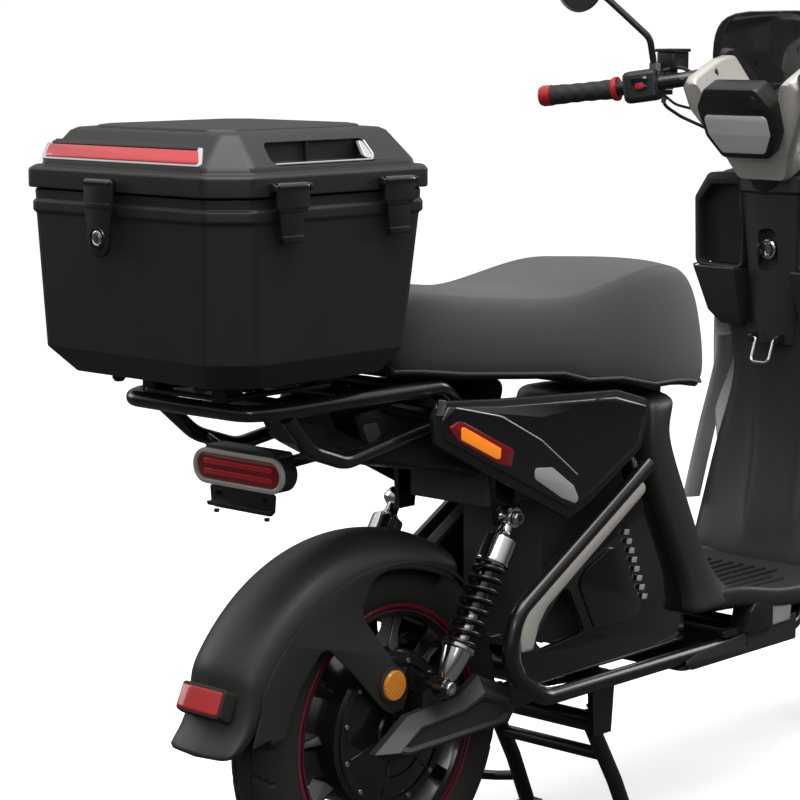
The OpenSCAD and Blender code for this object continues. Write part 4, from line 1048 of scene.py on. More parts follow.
def tyre(name, centre, body):
    """A tyre with a round tread, sipes cut across its shoulders and two grooves round it."""
    steps = 300
    half = TYRE_HALF
    pitch, sipe, groove = 10, 3.4, 3.2
    shape = []
    for k in range(33):
        a = math.pi * (k / 32) - math.pi / 2
        y = half * math.sin(a)
        r = TYRE_R - half + half * math.cos(a) * (1.0 if abs(a) < 0.9 else 0.985)
        shape.append((max(r, TYRE_R - 44), y))
    shape = [(TYRE_R - 68, -33), (TYRE_R - 60, -38), (TYRE_R - 52, -41.5), *shape[1:-1],
             (TYRE_R - 52, 41.5), (TYRE_R - 60, 38), (TYRE_R - 68, 33)]
    rings = []
    for i in range(steps):
        turn = 2 * math.pi * i / steps
        ring = []
        for r, y in shape:
            across_tread = abs(y) / half
            cutting = 0.0
            if r > TYRE_R - 30:
                slant = i + across_tread * 7 * (1 if y > 0 else -1)
                if 0.22 < across_tread < 0.86 and slant % pitch < 1.1:
                    cutting = sipe
                if abs(abs(y) - 11) < 1.6:
                    cutting = groove
            reach = (r - cutting) * MM
            ring.append(centre + Vector((math.cos(turn) * reach, y * MM, math.sin(turn) * reach)))
        rings.append(ring)
    count = len(shape)
    points = [p for ring in rings for p in ring]
    faces = []
    for i in range(steps):
        c = ((i + 1) % steps) * count
        for k in range(count):
            faces.append((i * count + k, i * count + (k + 1) % count, c + (k + 1) % count, c + k))
    return piece(name, points, faces, TYRE_RUBBER, body, angle=24)


def rim(name, centre, body):
    """The cast rim ring with its lips and red pin stripes."""
    r = RIM_R
    half = [(r - 14, 0), (r - 13, 18), (r - 16, 27), (r - 13, 31), (r - 4, 33.5), (r + 3, 34.5),
            (r + 3, 30), (r - 3, 24), (r - 4, 0)]
    profile = half + [(a, -b) for a, b in reversed(half[1:-1])]
    ring = lathe(name, profile, centre, (0, 1, 0), CAST_BLACK, body, 120, angle=30)
    for side in (-1, 1):
        for k, (inner, width) in enumerate(((r - 8.5, 1.6), (r - 2.5, 4.2))):
            lift = 32.6 + (inner - r + 13) * 0.12
            band = [(inner, lift - 1), (inner, lift + 0.9), (inner + width, lift + 1.4),
                    (inner + width, lift - 1)]
            lathe(side_name(f"{name}_stripe_{k}", side), band, centre, (0, side, 0), RIM_RED, body, 120)
    return ring


def spoke(name, centre, turn, inner, outer, body):
    """A tapered cast spoke with a ridge down each face."""
    out = Vector((math.cos(turn), 0, math.sin(turn)))
    side = Vector((-math.sin(turn), 0, math.cos(turn)))
    rings = []
    for r, wide, deep in ((inner, 11, 22), ((inner + outer) / 2, 7, 16), (outer, 10, 18)):
        spot = centre + out * r * MM
        rings.append([spot + (side * u + Vector((0, 1, 0)) * v) * MM for u,
                      v in ((-wide, -deep * 0.6), (0, -deep), (wide, -deep * 0.6), (wide, deep * 0.6),
                            (0, deep), (-wide, deep * 0.6))])
    return piece(name, *skinned(rings), CAST_BLACK, body, bevel=1.4)


def rear_wheel():
    """Cast rim round a hub motor with a finned side cover and its ring of bolts."""
    centre = middle("rear_tyre")
    body = "rear_wheel"
    ring = rim("rear_rim", centre, body)
    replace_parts(ring, "rear_wheel")
    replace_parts(tyre("rear_tyre_tread", centre, body), "rear_tyre")
    spokes = [spoke("s", centre, 2 * math.pi * k / SPOKES, 100, SPOKE_END, body) for k in range(SPOKES)]
    joined("rear_spokes", spokes)
    shell = [(10, -49), (30, -49), (32, -46), (58, -45), (60, -47), (96, -43), (104, -38), (106, -30)]
    drum = [*shell, *[(r, -y) for r, y in reversed(shell)]]
    lathe("hub_motor", drum, centre, (0, 1, 0), CAST_BLACK, body, 96, angle=28)
    for side in (-1, 1):
        at_side = centre + Vector((0, side * 43, 0)) * MM
        lathe(side_name("motor_cover_lip", side), [(88, 0), (98, -1), (99, 2.2), (96, 3.6), (88, 2.4)],
              at_side, (0, side, 0), DARK_PLASTIC, body, 96)
        heads = []
        for k in range(12):
            turn = 2 * math.pi * (k + 0.5) / 12
            spot = centre + Vector((math.cos(turn) * 92, side * 45, math.sin(turn) * 92)) * MM
            heads.append(bolt("b", spot, (0, side, 0), 3.8, 3.2, STEEL, body))
        joined(side_name("motor_bolts", side), heads)
        fins = []
        for k in range(6):
            turn = math.radians(60 * k + 15)
            out = Vector((math.cos(turn), 0, math.sin(turn)))
            over = Vector((-math.sin(turn), 0, math.cos(turn)))
            ring_a = [centre + (out * r + over * u) * MM + Vector((0, side * h, 0)) * MM
                      for r, u, h in ((36, -2.2, 45), (84, -2.2, 44), (84, 2.2, 44), (36, 2.2, 45))]
            ring_b = [p + Vector((0, side * 2.6, 0)) * MM for p in ring_a]
            fins.append(piece("f", *skinned([ring_a, ring_b]), CAST_BLACK, body, bevel=0.8))
        joined(side_name("motor_fins", side), fins)


def front_wheel():
    """Cast front wheel with a disc and its carrier."""
    centre = middle("front_tyre")
    body = "front_wheel"
    ring = rim("front_rim", centre, body)
    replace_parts(ring, "front_wheel")
    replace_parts(tyre("front_tyre_tread", centre, body), "front_tyre")
    spokes = [spoke("s", centre, 2 * math.pi * k / SPOKES, 30, SPOKE_END, body) for k in range(SPOKES)]
    joined("front_spokes", spokes)
    hub = [(6.2, -45), (24, -45), (27, -42), (34, -22), (34, 22), (27, 42), (24, 45), (6.2, 45)]
    lathe("front_hub", hub, centre, (0, 1, 0), CAST_BLACK, body, 64, angle=28)
    disc = [(56, 38), (94, 38), (94, 41), (56, 41)]
    lathe("front_disc", disc, centre, (0, -1, 0), STEEL, body, 96, angle=20)
    carrier = [(20, 36.5), (60, 36.5), (60, 39), (20, 39)]
    lathe("front_disc_carrier", carrier, centre, (0, -1, 0), CAST_BLACK, body, 6)


# --- Seat ---------------------------------------------------------------------------------------

def seat():
    """The cushion: a firm vinyl pad with a crease along each side, a dip and a tapered nose."""
    stations = [(-72, 90, 708, 768, 778), (-69, 112, 703, 791, 797), (-34, 124, 701, 798, 805),
                (40, 129, 691, 786, 797), (150, 130, 680, 774, 783), (235, 130, 672, 768, 777),
                (285, 130, 659, 770, 781), (360, 128, 653, 784, 791), (436, 124, 637, 796, 799),
                (500, 112, 634, 793, 799), (556, 95, 627, 777, 792), (602, 75, 618, 745, 768),
                (636, 54, 612, 704, 722), (658, 36, 612, 658, 676), (668, 18, 618, 634, 648)]
    rings = []
    for x, half, low, fold, top in stations:
        rise = fold - low
        one = [(0, low), (half * 0.72, low), (half - 5, low + 1), (half + 0.5, low + 0.14 * rise),
               (half + 1.5, low + 0.42 * rise), (half - 2, low + 0.72 * rise), (half - 9, fold - 3),
               (half - 16, fold + 1.5), (half * 0.66, fold + 0.55 * (top - fold)),
               (half * 0.34, top - 0.6), (0, top)]
        ring = [at(x, y, z) for y, z in one] + [at(x, -y, z) for y, z in reversed(one[1:-1])]
        rings.append(ring)
    points, faces = skinned(rings)
    cushion = piece("seat_cover", points, faces, VINYL, "seat", levels=3)
    count = len(rings[0])
    fold_row, hem_row = 7, 2
    soft = cushion.data.attributes.new("crease_edge", "FLOAT", "EDGE")
    for edge, value in zip(cushion.data.edges, soft.data):
        a, b = edge.vertices
        same_row = abs(a - b) == count and a % count == b % count
        value.value = 0.55 if same_row and a % count in (fold_row, count - fold_row) else 0.0
        if same_row and a % count in (hem_row, count - hem_row):
            value.value = 0.8
    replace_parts(cushion, "seat_cushion")
    edge = [at(x, half - 3, low + 1) for x, half, low, fold, top in stations[1:-1]]
    path = [*edge, at(672, 0, 620)] + [Vector((p.x, -p.y, p.z)) for p in reversed(edge)]
    tube("seat_piping", path, 2.2, VINYL, "seat", 30, 10, 3)
    rings = [[at(x, y, z) for y, z in ((half - 12, low - 7), (half - 7, low - 3), (half - 8, low + 6),
                                       (8 - half, low + 6), (7 - half, low - 3), (12 - half, low - 7))]
             for x, half, low, fold, top in stations[1:-1]]
    under = piece("seat_pan", *skinned(rings), DARK_PLASTIC, "seat", bevel=1.0)
    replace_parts(under, "seat_base")


# --- Covers -------------------------------------------------------------------------------------

def upper_panels():
    """The gloss side panel under the seat, in a satin surround, with its signal lens; the silver line and
    patch on it are a painted highlight and a painted reflection.
    """
    border = [(-13, 664, 6), (-27, 645, 8), (-21, 611, 8), (238, 481, 10), (283, 497, 12), (393, 556, 30),
              (413, 620, 16), (340, 641, 30), (98, 655, 40)]
    glossy = [(0, 656), (-12, 640), (-6, 615), (238, 496), (280, 509), (384, 562), (400, 614), (336, 632),
              (98, 646)]
    fold = [(12, 652), (0, 640), (4, 620), (238, 504), (276, 516), (372, 566), (384, 606), (300, 628),
            (180, 622)]
    for side, tag in SIDES:
        edge = plate(f"panel_surround_{tag}", [rounded(border)], side_place(side), 126, 134, DARK_PLASTIC,
                     "chassis", 2.2)
        if side < 0:
            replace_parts(edge, "upper_panels")
        rings = [[at(x, side * y, z) for x, z in outline] for outline,
                 y in ((glossy, 132), (glossy, 136.5), (fold, 140.5))]
        piece(f"gloss_panel_{tag}", *skinned(rings), GLOSS_BLACK, "chassis", bevel=2.4)
        lens_outline = rounded([(-6, 631), (12, 637), (22, 635), (118, 589), (113, 567), (88, 574),
                                (12, 612)], 4)
        outer = plate(f"signal_lens_{tag}", [lens_outline], side_place(side), 137, 142.5, DEEP_RED,
                      "chassis", 1.4)
        if side < 0:
            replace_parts(outer, "signal_lenses")
        lit = rounded([(16, 630), (24, 628), (92, 594), (90, 580), (82, 582), (16, 614)], 3)
        plate(f"signal_lamp_{tag}", [lit], side_place(side), 141, 143.4, GLOW_AMBER, "chassis", 0.8)
        # The thin silver tube across the gloss panel is a painted highlight, a streak of light on the
        # gloss.
        line = [at(x, side * 141, z) for x, z in ((9, 654), (94, 634), (173, 594), (225, 556),
                                                  (246, 540))]
        tube(f"panel_highlight_line_{tag}", line, 1.1, SILVER_PAINT, "chassis", 60, 8, 5)
        # The silver patch near the panel's lower front corner is a painted reflection on the gloss.
        reflection_patch = rounded([(160, 560), (196, 556), (240, 526), (250, 508), (244, 502), (214, 514),
                         (160, 546)], 7)
        plate(f"panel_fleck_{tag}", [reflection_patch], side_place(side), 139.6, 141, SILVER_PAINT, "chassis", 0.3)
        chip = rounded([(-17, 667), (-3, 664), (-9, 646), (-23, 648)], 2)
        plate(f"panel_chip_{tag}", [chip], side_place(side), 133, 136, CHROME, "chassis", 0.6)
        seam = [at(x, side * 137.4, z) for x, z in ((30, 648), (100, 633), (175, 624), (240, 627),
                                                    (320, 638))]
        tube(f"panel_fold_{tag}", seam, 0.9, GLOSS_BLACK, "chassis", 60, 8, 5)


def lower_covers():
    """The gloss cover inside each frame loop, with its window, strip, chrome edge and vents."""
    outline = [(398, 503, 6), (171, 366, 20), (147, 330, 24), (153, 298, 26), (195, 262, 20),
               (525, 262, 6), (520, 324, 30), (440, 470, 30)]
    window = rounded([(262, 388, 12), (302, 316, 6), (212, 308, 8), (196, 322, 10), (214, 344, 20)], 8)
    for side, tag in SIDES:
        main = plate(f"lower_cover_{tag}", [rounded(outline), list(reversed(window))], side_place(side),
                     104, 113, GLOSS_BLACK, "chassis", 2.0)
        if side < 0:
            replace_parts(main, "lower_covers")
        raised = rounded([(300, 402, 26), (360, 428, 20), (424, 330, 16), (410, 316, 6), (318, 318, 6),
                          (284, 384, 20)], 12)
        plate(f"lower_cover_pad_{tag}", [raised], side_place(side), 112, 116.5, GLOSS_BLACK, "chassis",
              2.0)
        strip = rounded([(391, 516, 8), (409, 498, 9), (196, 370, 34), (180, 350, 20), (168, 318, 3),
                         (146, 318, 3), (140, 346, 20), (154, 372, 20)], 4)
        plate(f"champagne_strip_{tag}", [strip], side_place(side), 112, 135, CHAMPAGNE, "chassis", 4)
        edge = [at(x, side * 118, z) for x, z in ((158, 332), (160, 302), (176, 274), (214, 257),
                                                  (300, 250), (430, 247))]
        tube(f"cover_edge_{tag}", edge, 1.8, CHROME, "chassis", 26, 10)
        marks = []
        for k in range(8):
            t = k / 7
            x = 384 + 42 * t
            z = 440 - 96 * t
            bar = rounded([(x - 6, z - 3), (x + 4, z - 4.4), (x + 6, z + 3), (x - 4, z + 4.4)], 1.2)
            marks.append(plate("m", [bar], side_place(side), 115.5, 117.4, SILVER_PAINT, "chassis", 0.4))
        joined(f"cover_vents_{tag}", marks)


def pillar():
    """The satin pillar from the seat's nose down to the floor, with a crease down each side."""
    levels = [(622, 430, 512, 118), (600, 428, 502, 124), (574, 425, 487, 127), (545, 424, 494, 128),
              (500, 432, 516, 128), (440, 462, 546, 128), (385, 492, 573, 128), (350, 508, 596, 130),
              (328, 514, 622, 133), (312, 516, 646, 137), (296, 520, 650, 138)]
    rings = []
    for z, rear, front, half in levels:
        mid = rear + 0.46 * (front - rear)
        one = [(rear, half - 5), (rear + 5, half), (mid, half + 1.5), (front - 16, half - 7),
               (front - 5, half - 18), (front, half - 38), (front + 2, 0)]
        ring = [at(x, y, z) for x, y in one] + [at(x, -y, z) for x, y in reversed(one[:-1])]
        rings.append(ring)
    shell = piece("pillar_shell", *skinned(rings), GREY_PLASTIC, "chassis", levels=2)
    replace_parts(shell, "pillar_cover")


def floor():
    """The footboard: a shallow tray with a rolled side lip and a ribbed rubber mat."""
    stations = [(560, 128, 326), (600, 136, 330), (626, 144, 330), (668, 147, 322), (720, 147, 311),
                (790, 146, 308), (floor_front() - 8, 144, 308), (floor_front() + 14, 142, 322)]
    rings = []
    for x, half, z in stations:
        flat = 308 if x > 610 else 316
        one = [(0, flat), (half - 34, flat), (half - 14, z - 2), (half - 5, z), (half, z - 5),
               (half, z - 22), (half - 3, z - 29), (half - 12, z - 30), (half - 14, 290), (0, 290)]
        ring = [at(x, y, v) for y, v in one] + [at(x, -y, v) for y, v in reversed(one[1:-1])]
        rings.append(ring)
    shell = piece("footboard", *skinned(rings), GREY_PLASTIC, "chassis", levels=2)
    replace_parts(shell, "floorboard")
    ribs = []
    for y in range(-100, 101, 20):
        reach = 40 if abs(y) > 70 else 0
        rib = rounded([(655, y - 3.2), (floor_front() - 46 - reach, y - 3.2),
                       (floor_front() - 40 - reach, y + 3.2), (649, y + 3.2)], 2.5)
        ribs.append(plate("r", [rib], at, 307, 310.4, DARK_PLASTIC, "chassis", 0.9))
    joined("footboard_ribs", ribs)


def floor_front():
    return (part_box("floorboard")[1].x - REAR_X) / MM


def foot_pegs():
    """The folded foot peg on each side: a grey hinge block and a silver tread."""
    for side, tag in SIDES:
        block = rounded([(632, 257, 3), (640, 290, 6), (650, 301, 5), (694, 301, 2), (694, 257, 2)])
        plate(f"peg_block_{tag}", [block], side_place(side), 112, 146, DARK_PLASTIC, "chassis", 2)
        tread = rounded([(692, 259, 3), (692, 304, 5), (738, 302, 6), (745, 280, 5), (742, 260, 4)])
        plate(f"peg_tread_{tag}", [tread], side_place(side), 116, 143, SILVER_PAINT, "chassis", 2.4)
        arm = rounded([(588, 268), (634, 268), (634, 258), (588, 258)], 3)
        plate(f"peg_arm_{tag}", [arm], side_place(side), 122, 136, CAST_BLACK, "chassis", 1)
        bolt(f"peg_pin_{tag}", at(752, side * 128, 282), (0, side, 0), 6, 5, STEEL, "chassis")


def frame_loops():
    """The round frame tube that runs down each side, under the floor and up to the steering head."""
    parts = []
    for side in (-1, 1):
        path = on_side(side, ((420, LOOP_Y, 530), (145, LOOP_Y, 368), (125, LOOP_Y, 300),
                              (200, LOOP_Y, 246), (floor_front() - 90, LOOP_Y, 246),
                              (floor_front() + 20, 60, 286)))
        parts.append(tube("t", path, LOOP_R, FRAME_BLACK, "chassis", 52, 24, 8))
    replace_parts(joined("frame_loops", parts), "side_loops")


def sill():
    """The satin fairing band outside each lower rail, over the pan between them."""
    front = (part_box("belly_pan")[1].x - REAR_X) / MM
    for side, tag in SIDES:
        band = rounded([(508, 228, 6), (486, 240, 10), (524, 250, 14), (front, 268, 3), (front, 228, 3)])
        edge = plate(f"sill_{tag}", [band], side_place(side), 136.2, 140, GREY_PLASTIC, "chassis", 1.2)
        if side < 0:
            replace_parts(edge, "belly_pan")
        slot = rounded([(636, 240), (639, 240), (639, 247), (636, 247)], 1)
        plate(f"sill_slot_{tag}", [slot], side_place(side), 139, 140.6, DARK_PLASTIC, "chassis", 0.2)
    pan = [(490, -136), (front, -136), (front, 136), (490, 136)]
    plate("belly_plate", [rounded(pan, 12)], at, 228, 233, GREY_PLASTIC, "chassis", 1.2)


# --- Leg shield ---------------------------------------------------------------------------------

def leg_shield():
    """The inner shield: a swept panel with rolled edges, narrow at the knees, and a raised centre."""
    rows = [(296, 872, 146), (330, 880, 147), (372, 896, 146), (420, 910, 143), (488, 920, 132),
            (548, 922, 112), (600, 918, 100), (650, 912, 106), (700, 904, 124), (742, 899, 136),
            (800, 896, 141), (862, 894, 140), (892, 896, 128), (906, 902, 100)]
    rings = []
    for z, x, half in rows:
        low = min(max((z - 330) / 60, 0), 1)
        one = [(-14 * low, 0), (-14 * low, 34), (-12 * low, 44), (-1, 54), (0, 0.66 * half + 18),
               (3, half - 16), (9, half - 5), (20, half), (34, half - 1), (36, half - 6), (14, half - 14),
               (8, 0)]
        ring = [at(x + dx, y, z) for dx, y in one] + [at(x + dx, -y, z) for dx, y in reversed(one[1:-1])]
        rings.append(ring)
    shell = piece("shield_panel", *skinned(rings), GREY_PLASTIC, "chassis", levels=2)
    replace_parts(shell, "leg_shield")
    hatch = rounded([(-26, 452), (26, 452), (26, 560), (-26, 560)], 3)
    inner = rounded([(-24.8, 453.2), (24.8, 453.2), (24.8, 558.8), (-24.8, 558.8)], 2.4)
    plate("shield_hatch", [hatch, list(reversed(inner))], lambda u, v,
          w: at(w + 905 + (v - 452) * 0.06, u, v), -1.2, 2, DARK_PLASTIC, "chassis", 0.3)


def stem_cover():
    """The column in front of the steering stem, with a collar, and the recess for the key switch."""
    levels = [(640, 886, 34), (690, 878, 44), (760, 872, 50), (820, 866, 52), (868, 862, 54),
              (872, 858, 58), (892, 858, 58), (896, 862, 54)]
    rings = []
    for z, x, half in levels:
        ring = []
        for k in range(17):
            a = math.pi * k / 16
            ring.append(at(x + 26 - 26 * math.sin(a) ** 0.7, half * math.cos(a), z))
        ring += [at(x + 52, -half, z), at(x + 52, half, z)]
        rings.append(ring)
    column = piece("stem_column", *skinned(rings), GREY_PLASTIC, "chassis")
    recess = rounded([(-19, 750), (19, 750), (16, 816), (-16, 816)], 12)
    cutter = piece("cutter_key", *skinned([[at(852, u, v) for u, v in recess],
                                           [at(882, u, v) for u, v in recess]]), DARK_PLASTIC, "chassis",
                   ride=False)
    cut(column, cutter)
    round_edges(column, 1.5)
    dark = [at(883, u, v) for u, v in recess]
    piece("key_recess", *skinned([dark, [p + Vector((2, 0, 0)) * MM for p in dark]]), DARK_PLASTIC,
          "chassis", bevel=0.5)
    spot = joint_at("key_turn") + Vector((-1, 0, 0)) * MM
    lathe("key_switch", [(0, -9), (15, -9), (15, 2), (13, 4), (9.6, 4), (9.4, 1.6), (0, 1.6)], spot,
          (-1, 0, 0), CHROME, "chassis", 40, closed=False)
    blade = rounded([(-1.4, -9), (1.4, -9), (1.4, 9), (-1.4, 9)], 1)
    key = plate("key_blade", [blade], lambda u, v, w: spot + Vector((-w, u, v)) * MM, 1, 12, CHROME,
                "key", 0.4)
    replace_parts(key, "ignition_key")
    head = rounded([(10, -11), (27, -11), (27, 11), (10, 11)], 6)
    hole = arc(20, 0, 3, 0, 360, 16)[:-1]
    plate("key_head", [head, hole], lambda u, v, w: spot + Vector((-u, w, v)) * MM, -2, 2, DARK_PLASTIC,
          "key", 0.8)


def glove_pockets():
    """The open pocket on each side of the column, with a dark sheet across it as painted shade for its
    depth, and a pale rim tube as a painted highlight on its lip.
    """
    for side, tag in SIDES:

        def tub(x0, x1, y0, y1, z):
            return [at(x0, side * y0, z), at(x0, side * (y1 - 14), z), at(x0 + 16, side * y1, z),
                    at(x1, side * y1, z), at(x1, side * y0, z)]
        rings = [tub(892, 908, 60, 112, 664), tub(876, 908, 54, 124, 684), tub(855, 908, 50, 138, 752),
                 tub(858, 908, 54, 135, 752), tub(879, 906, 58, 121, 690), tub(892, 906, 62, 110, 672)]
        piece(f"glove_pocket_{tag}", *skinned(rings), GREY_PLASTIC, "chassis", bevel=1.2)
        # The pale rim tube along the pocket's lower lip is a painted highlight where light catches the lip.
        rim_highlight_path = [at(858, side * 52, 753), at(856, side * 123, 753), at(872, side * 138, 754),
                    at(896, side * 139, 755)]
        tube(f"pocket_lip_highlight_{tag}", rim_highlight_path, 1.4, BATTERY, "chassis", 12, 8, slot="dark_grey")
        # The dark sheet across the pocket's opening is painted shade standing in for the dim depth of the
        # pocket.
        shade_sheet = [[at(x, side * y, z) for y, z in ((54, 756), (132, 758), (134, 852), (112, 880),
                                                 (54, 880))] for x in (895, 893)]
        piece(f"pocket_painted_shade_{tag}", *skinned(shade_sheet), DARK_PLASTIC, "chassis", bevel=0.6)
        frame_out = rounded([(50, 748), (138, 752), (141, 858), (116, 896), (50, 900)], 14)
        frame_in = rounded([(54, 755), (131, 757), (133, 850), (110, 878), (54, 880)], 10)
        plate(f"pocket_frame_{tag}", [frame_out, list(reversed(frame_in))], lambda u, v,
              w: at(w, side * u, v), 876, 897, GREY_PLASTIC, "chassis", 2.2)


def bag_hook():
    """The folding wire hook below the key, in its two lugs."""
    pin = joint_at("hook_fold")
    bend = [pin + Vector(p) * MM for p in ((0, -26, 0), (0, -16, 0), (-14, -16, -35), (-14, 16, -35),
                                           (0, 16, 0), (0, 26, 0))]
    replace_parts(tube("hook_wire", bend, 2.4, CHROME, "hook", 9, 12), "bag_hook")
    for k, y in enumerate((-24, 24)):
        lug = rounded([(-7, -6), (12, -8), (12, 8), (-7, 6)], 4)
        plate(f"hook_lug_{k}", [lug], lambda u, v, w: pin + Vector((u, w, v)) * MM, y - 3.4, y + 3.4,
              DARK_PLASTIC, "chassis", 1)


def apron():
    """The silver outer shield, arched over the fork, with a broad trim down each rear edge."""
    rows = [(372, 0.80), (430, 0.90), (500, 0.96), (580, 1.0), (680, 1.0), (780, 0.98), (850, 0.9),
            (890, 0.78)]
    low, high = rows[0][0], rows[-1][0]
    rings = []
    rear, half = 936, 148
    for z, k in rows:
        nose = (HEAD.x - REAR_X) / MM + 70 + 150 * k - 0.12 * abs(z - 620)
        ring = []
        for steps, wall in ((range(-8, 9), 0), (range(8, -9, -1), 5)):
            for a in steps:
                t = abs(a) / 8
                open_part = min(max((1 - t) / 0.26, 0), 1)
                arch = 212 * open_part * open_part * (3 - 2 * open_part) * (high - z) / (high - low)
                x = rear + (nose - rear - 1.2 * wall) * (1 - t ** 2.4)
                ring.append(at(x, math.copysign((half * k - wall) * t ** 0.8, a), z + arch))
        rings.append(ring)
    shell = piece("apron_shell", *skinned(rings), WHITE_PAINT, "chassis", levels=1)
    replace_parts(shell, "front_apron")
    for side in (-1, 1):
        trim = on_side(side, ((896, 152, 384), (914, 151, 440), (930, 147, 500), (942, 138, 560),
                              (948, 129, 610), (946, 126, 640)))
        path = smooth_path(trim, 60, 5)
        rings = rings_along(path, 7.5, 14)
        wide = [[centre + Vector(((p - centre).x * 3.2, (p - centre).y * 0.6, (p - centre).z))
                 for p in ring] for ring in rings for centre in [sum(ring, Vector()) / len(ring)]]
        piece(side_name("apron_trim", side), *skinned(wide), SILVER_PAINT, "chassis", angle=60)


# --- Steering -----------------------------------------------------------------------------------

def bar_cover():
    """The champagne cover: a bowl over the stem and an arm up to each side of the bar."""
    outer = [(-44, 4, 14), (44, 4, 14), (60, 46, 20), (104, 124, 14), (106, 160, 8), (96, 172, 8),
             (80, 172, 8), (50, 96, 16), (-50, 96, 16), (-80, 172, 8), (-96, 172, 8), (-106, 160, 8),
             (-104, 124, 14), (-60, 46, 20)]
    loop = rounded(outer, 10, 4)
    rings = []
    for x, k in ((-44, 0.93), (-40, 0.975), (-30, 1.0), (0, 1.0), (30, 0.99), (50, 0.95), (58, 0.9)):
        rings.append([on_stem(x, u * k, 88 + (v - 88) * k) for u, v in loop])
    shell = piece("bar_shell", *skinned(rings), CHAMPAGNE, "steering", angle=42)
    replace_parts(shell, "bar_cover")
    lathe("stem_gaiter", [(16, -22), (44, -16), (46, -4), (44, 8), (16, 12)], on_stem(0, 0, 0),
          (-math.sin(RAKE), 0, math.cos(RAKE)), DARK_PLASTIC, "steering", 48)


def dash():
    """The display: a black bezel with a pale glass that has a dark band along its top."""
    def face(u, v, w):
        return on_stem(-46 - w, u, v)
    bezel = rounded([(-42, 56), (42, 56), (63, 92), (66, 140), (46, 170), (-46, 170), (-66, 140),
                     (-63, 92)], 12)
    frame_piece = plate("dash_bezel", [bezel], face, -14, 22, DARK_PLASTIC, "steering", 4)
    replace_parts(frame_piece, "dash")
    glass = rounded([(-38, 66), (38, 66), (55, 96), (56, 128), (-56, 128), (-55, 96)], 9)
    plate("dash_glass", [glass], face, 20, 23.6, SCREEN, "steering", 1)
    band = rounded([(-56, 129), (56, 129), (42, 160), (-42, 160)], 9)
    plate("dash_band", [band], face, 20, 23.4, GLOSS_BLACK, "steering", 1)


def windshield():
    """The smoked flyscreen, bowed round the dash and cut round at its top."""
    rings = []
    for k in range(0, 13):
        t = k / 12
        z = 1018 + 122 * math.sin(t * math.pi / 2)
        half = 118 * math.sqrt(max(1 - t ** 3, 0.02))
        ring = []
        for a in range(-10, 11):
            s = a / 10
            ring.append(at(938 - 48 * s * s * (half / 118) - 26 * t, half * s, z))
        rings.append(ring)
    points, faces = skinned(rings, closed=False, caps=False)
    shell = piece("flyscreen", points, faces, SMOKE, "steering", angle=60)
    thick = shell.modifiers.new("thick", "SOLIDIFY")
    thick.thickness = 3 * MM
    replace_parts(shell, "windshield")
    for k, y in enumerate((-60, 60)):
        bolt(f"screen_screw_{k}", at(922, y, 1060), (-1, 0, 0), 5, 4, STEEL, "steering")


def headlight():
    """The round lamp in its black ring."""
    low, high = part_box("headlight")
    centre = (low + high) / 2
    ahead = Matrix.Rotation(-RAKE, 3, "Y") @ Vector((1, 0, 0))
    glass = lathe("headlamp_glass", [(0, 15), (24, 14), (38, 10), (41, 4), (41, -14), (0, -14)], centre,
                  ahead, CLEAR, "steering", 64, closed=False)
    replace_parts(glass, "headlight")
    lathe("headlamp_ring", [(41, -17), (46, -15), (47, 8), (44, 13), (40, 12), (41, 4)], centre, ahead,
          GLOSS_BLACK, "steering", 64)


BAR = [(-52, 82, 147), (-96, 106, 138), (-137, 190, 124), (-175, 318, 110)]


def bars():
    """The handlebar tube on each side."""
    parts = []
    for side in (-1, 1):
        path = on_side(side, BAR, by_head)
        parts.append(tube("t", path, BAR_R, FRAME_BLACK, "steering", 26, 20))
    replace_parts(joined("bar_tubes", parts), "handlebar")


def grip(side):
    """A rubber grip with a wavy tread, a red end cap and a red inner ring."""
    start, end = by_head(-140, side * 200, 122.9), by_head(-175, side * 320, 110)
    along = (end - start).normalized()
    length = (end - start).length / MM
    body = "steering" if side > 0 else "throttle"
    tag = "l" if side > 0 else "r"
    side_way = along.orthogonal().normalized()
    up = along.cross(side_way)
    rings = []
    rows, sides, bare = 46, 40, 0.84
    for i in range(rows + 1):
        t = i / rows
        ring = []
        for k in range(sides):
            a = 2 * math.pi * k / sides
            tread = 0.45 * math.sin(9 * t * math.pi + 3 * math.sin(a * 2)) * (0.1 < t < 0.9)
            swell = 15.2 - 0.9 * math.sin(math.pi * t) + tread
            ring.append(start + along * length * bare * t * MM
                        + (side_way * math.cos(a) + up * math.sin(a)) * swell * MM)
        rings.append(ring)
    rubber = piece(f"grip_rubber_{tag}", *skinned(rings), RUBBER, body, angle=60)
    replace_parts(rubber, "left_grip" if side > 0 else "throttle_grip")
    cap = [(11.3, bare * length), (16, bare * length + 0.5), (16, length - 6), (14, length - 1),
           (9, length + 1), (0, length + 1)]
    lathe(f"grip_end_highlight_{tag}", cap, start, along, RED_RUBBER, body, 40, closed=False)
    ring = [(11.3, -3), (18, -3), (18.6, 0), (17.6, 4), (11.3, 4)]
    lathe(f"grip_ring_{tag}", ring, start, along, RED_RUBBER, body, 40)


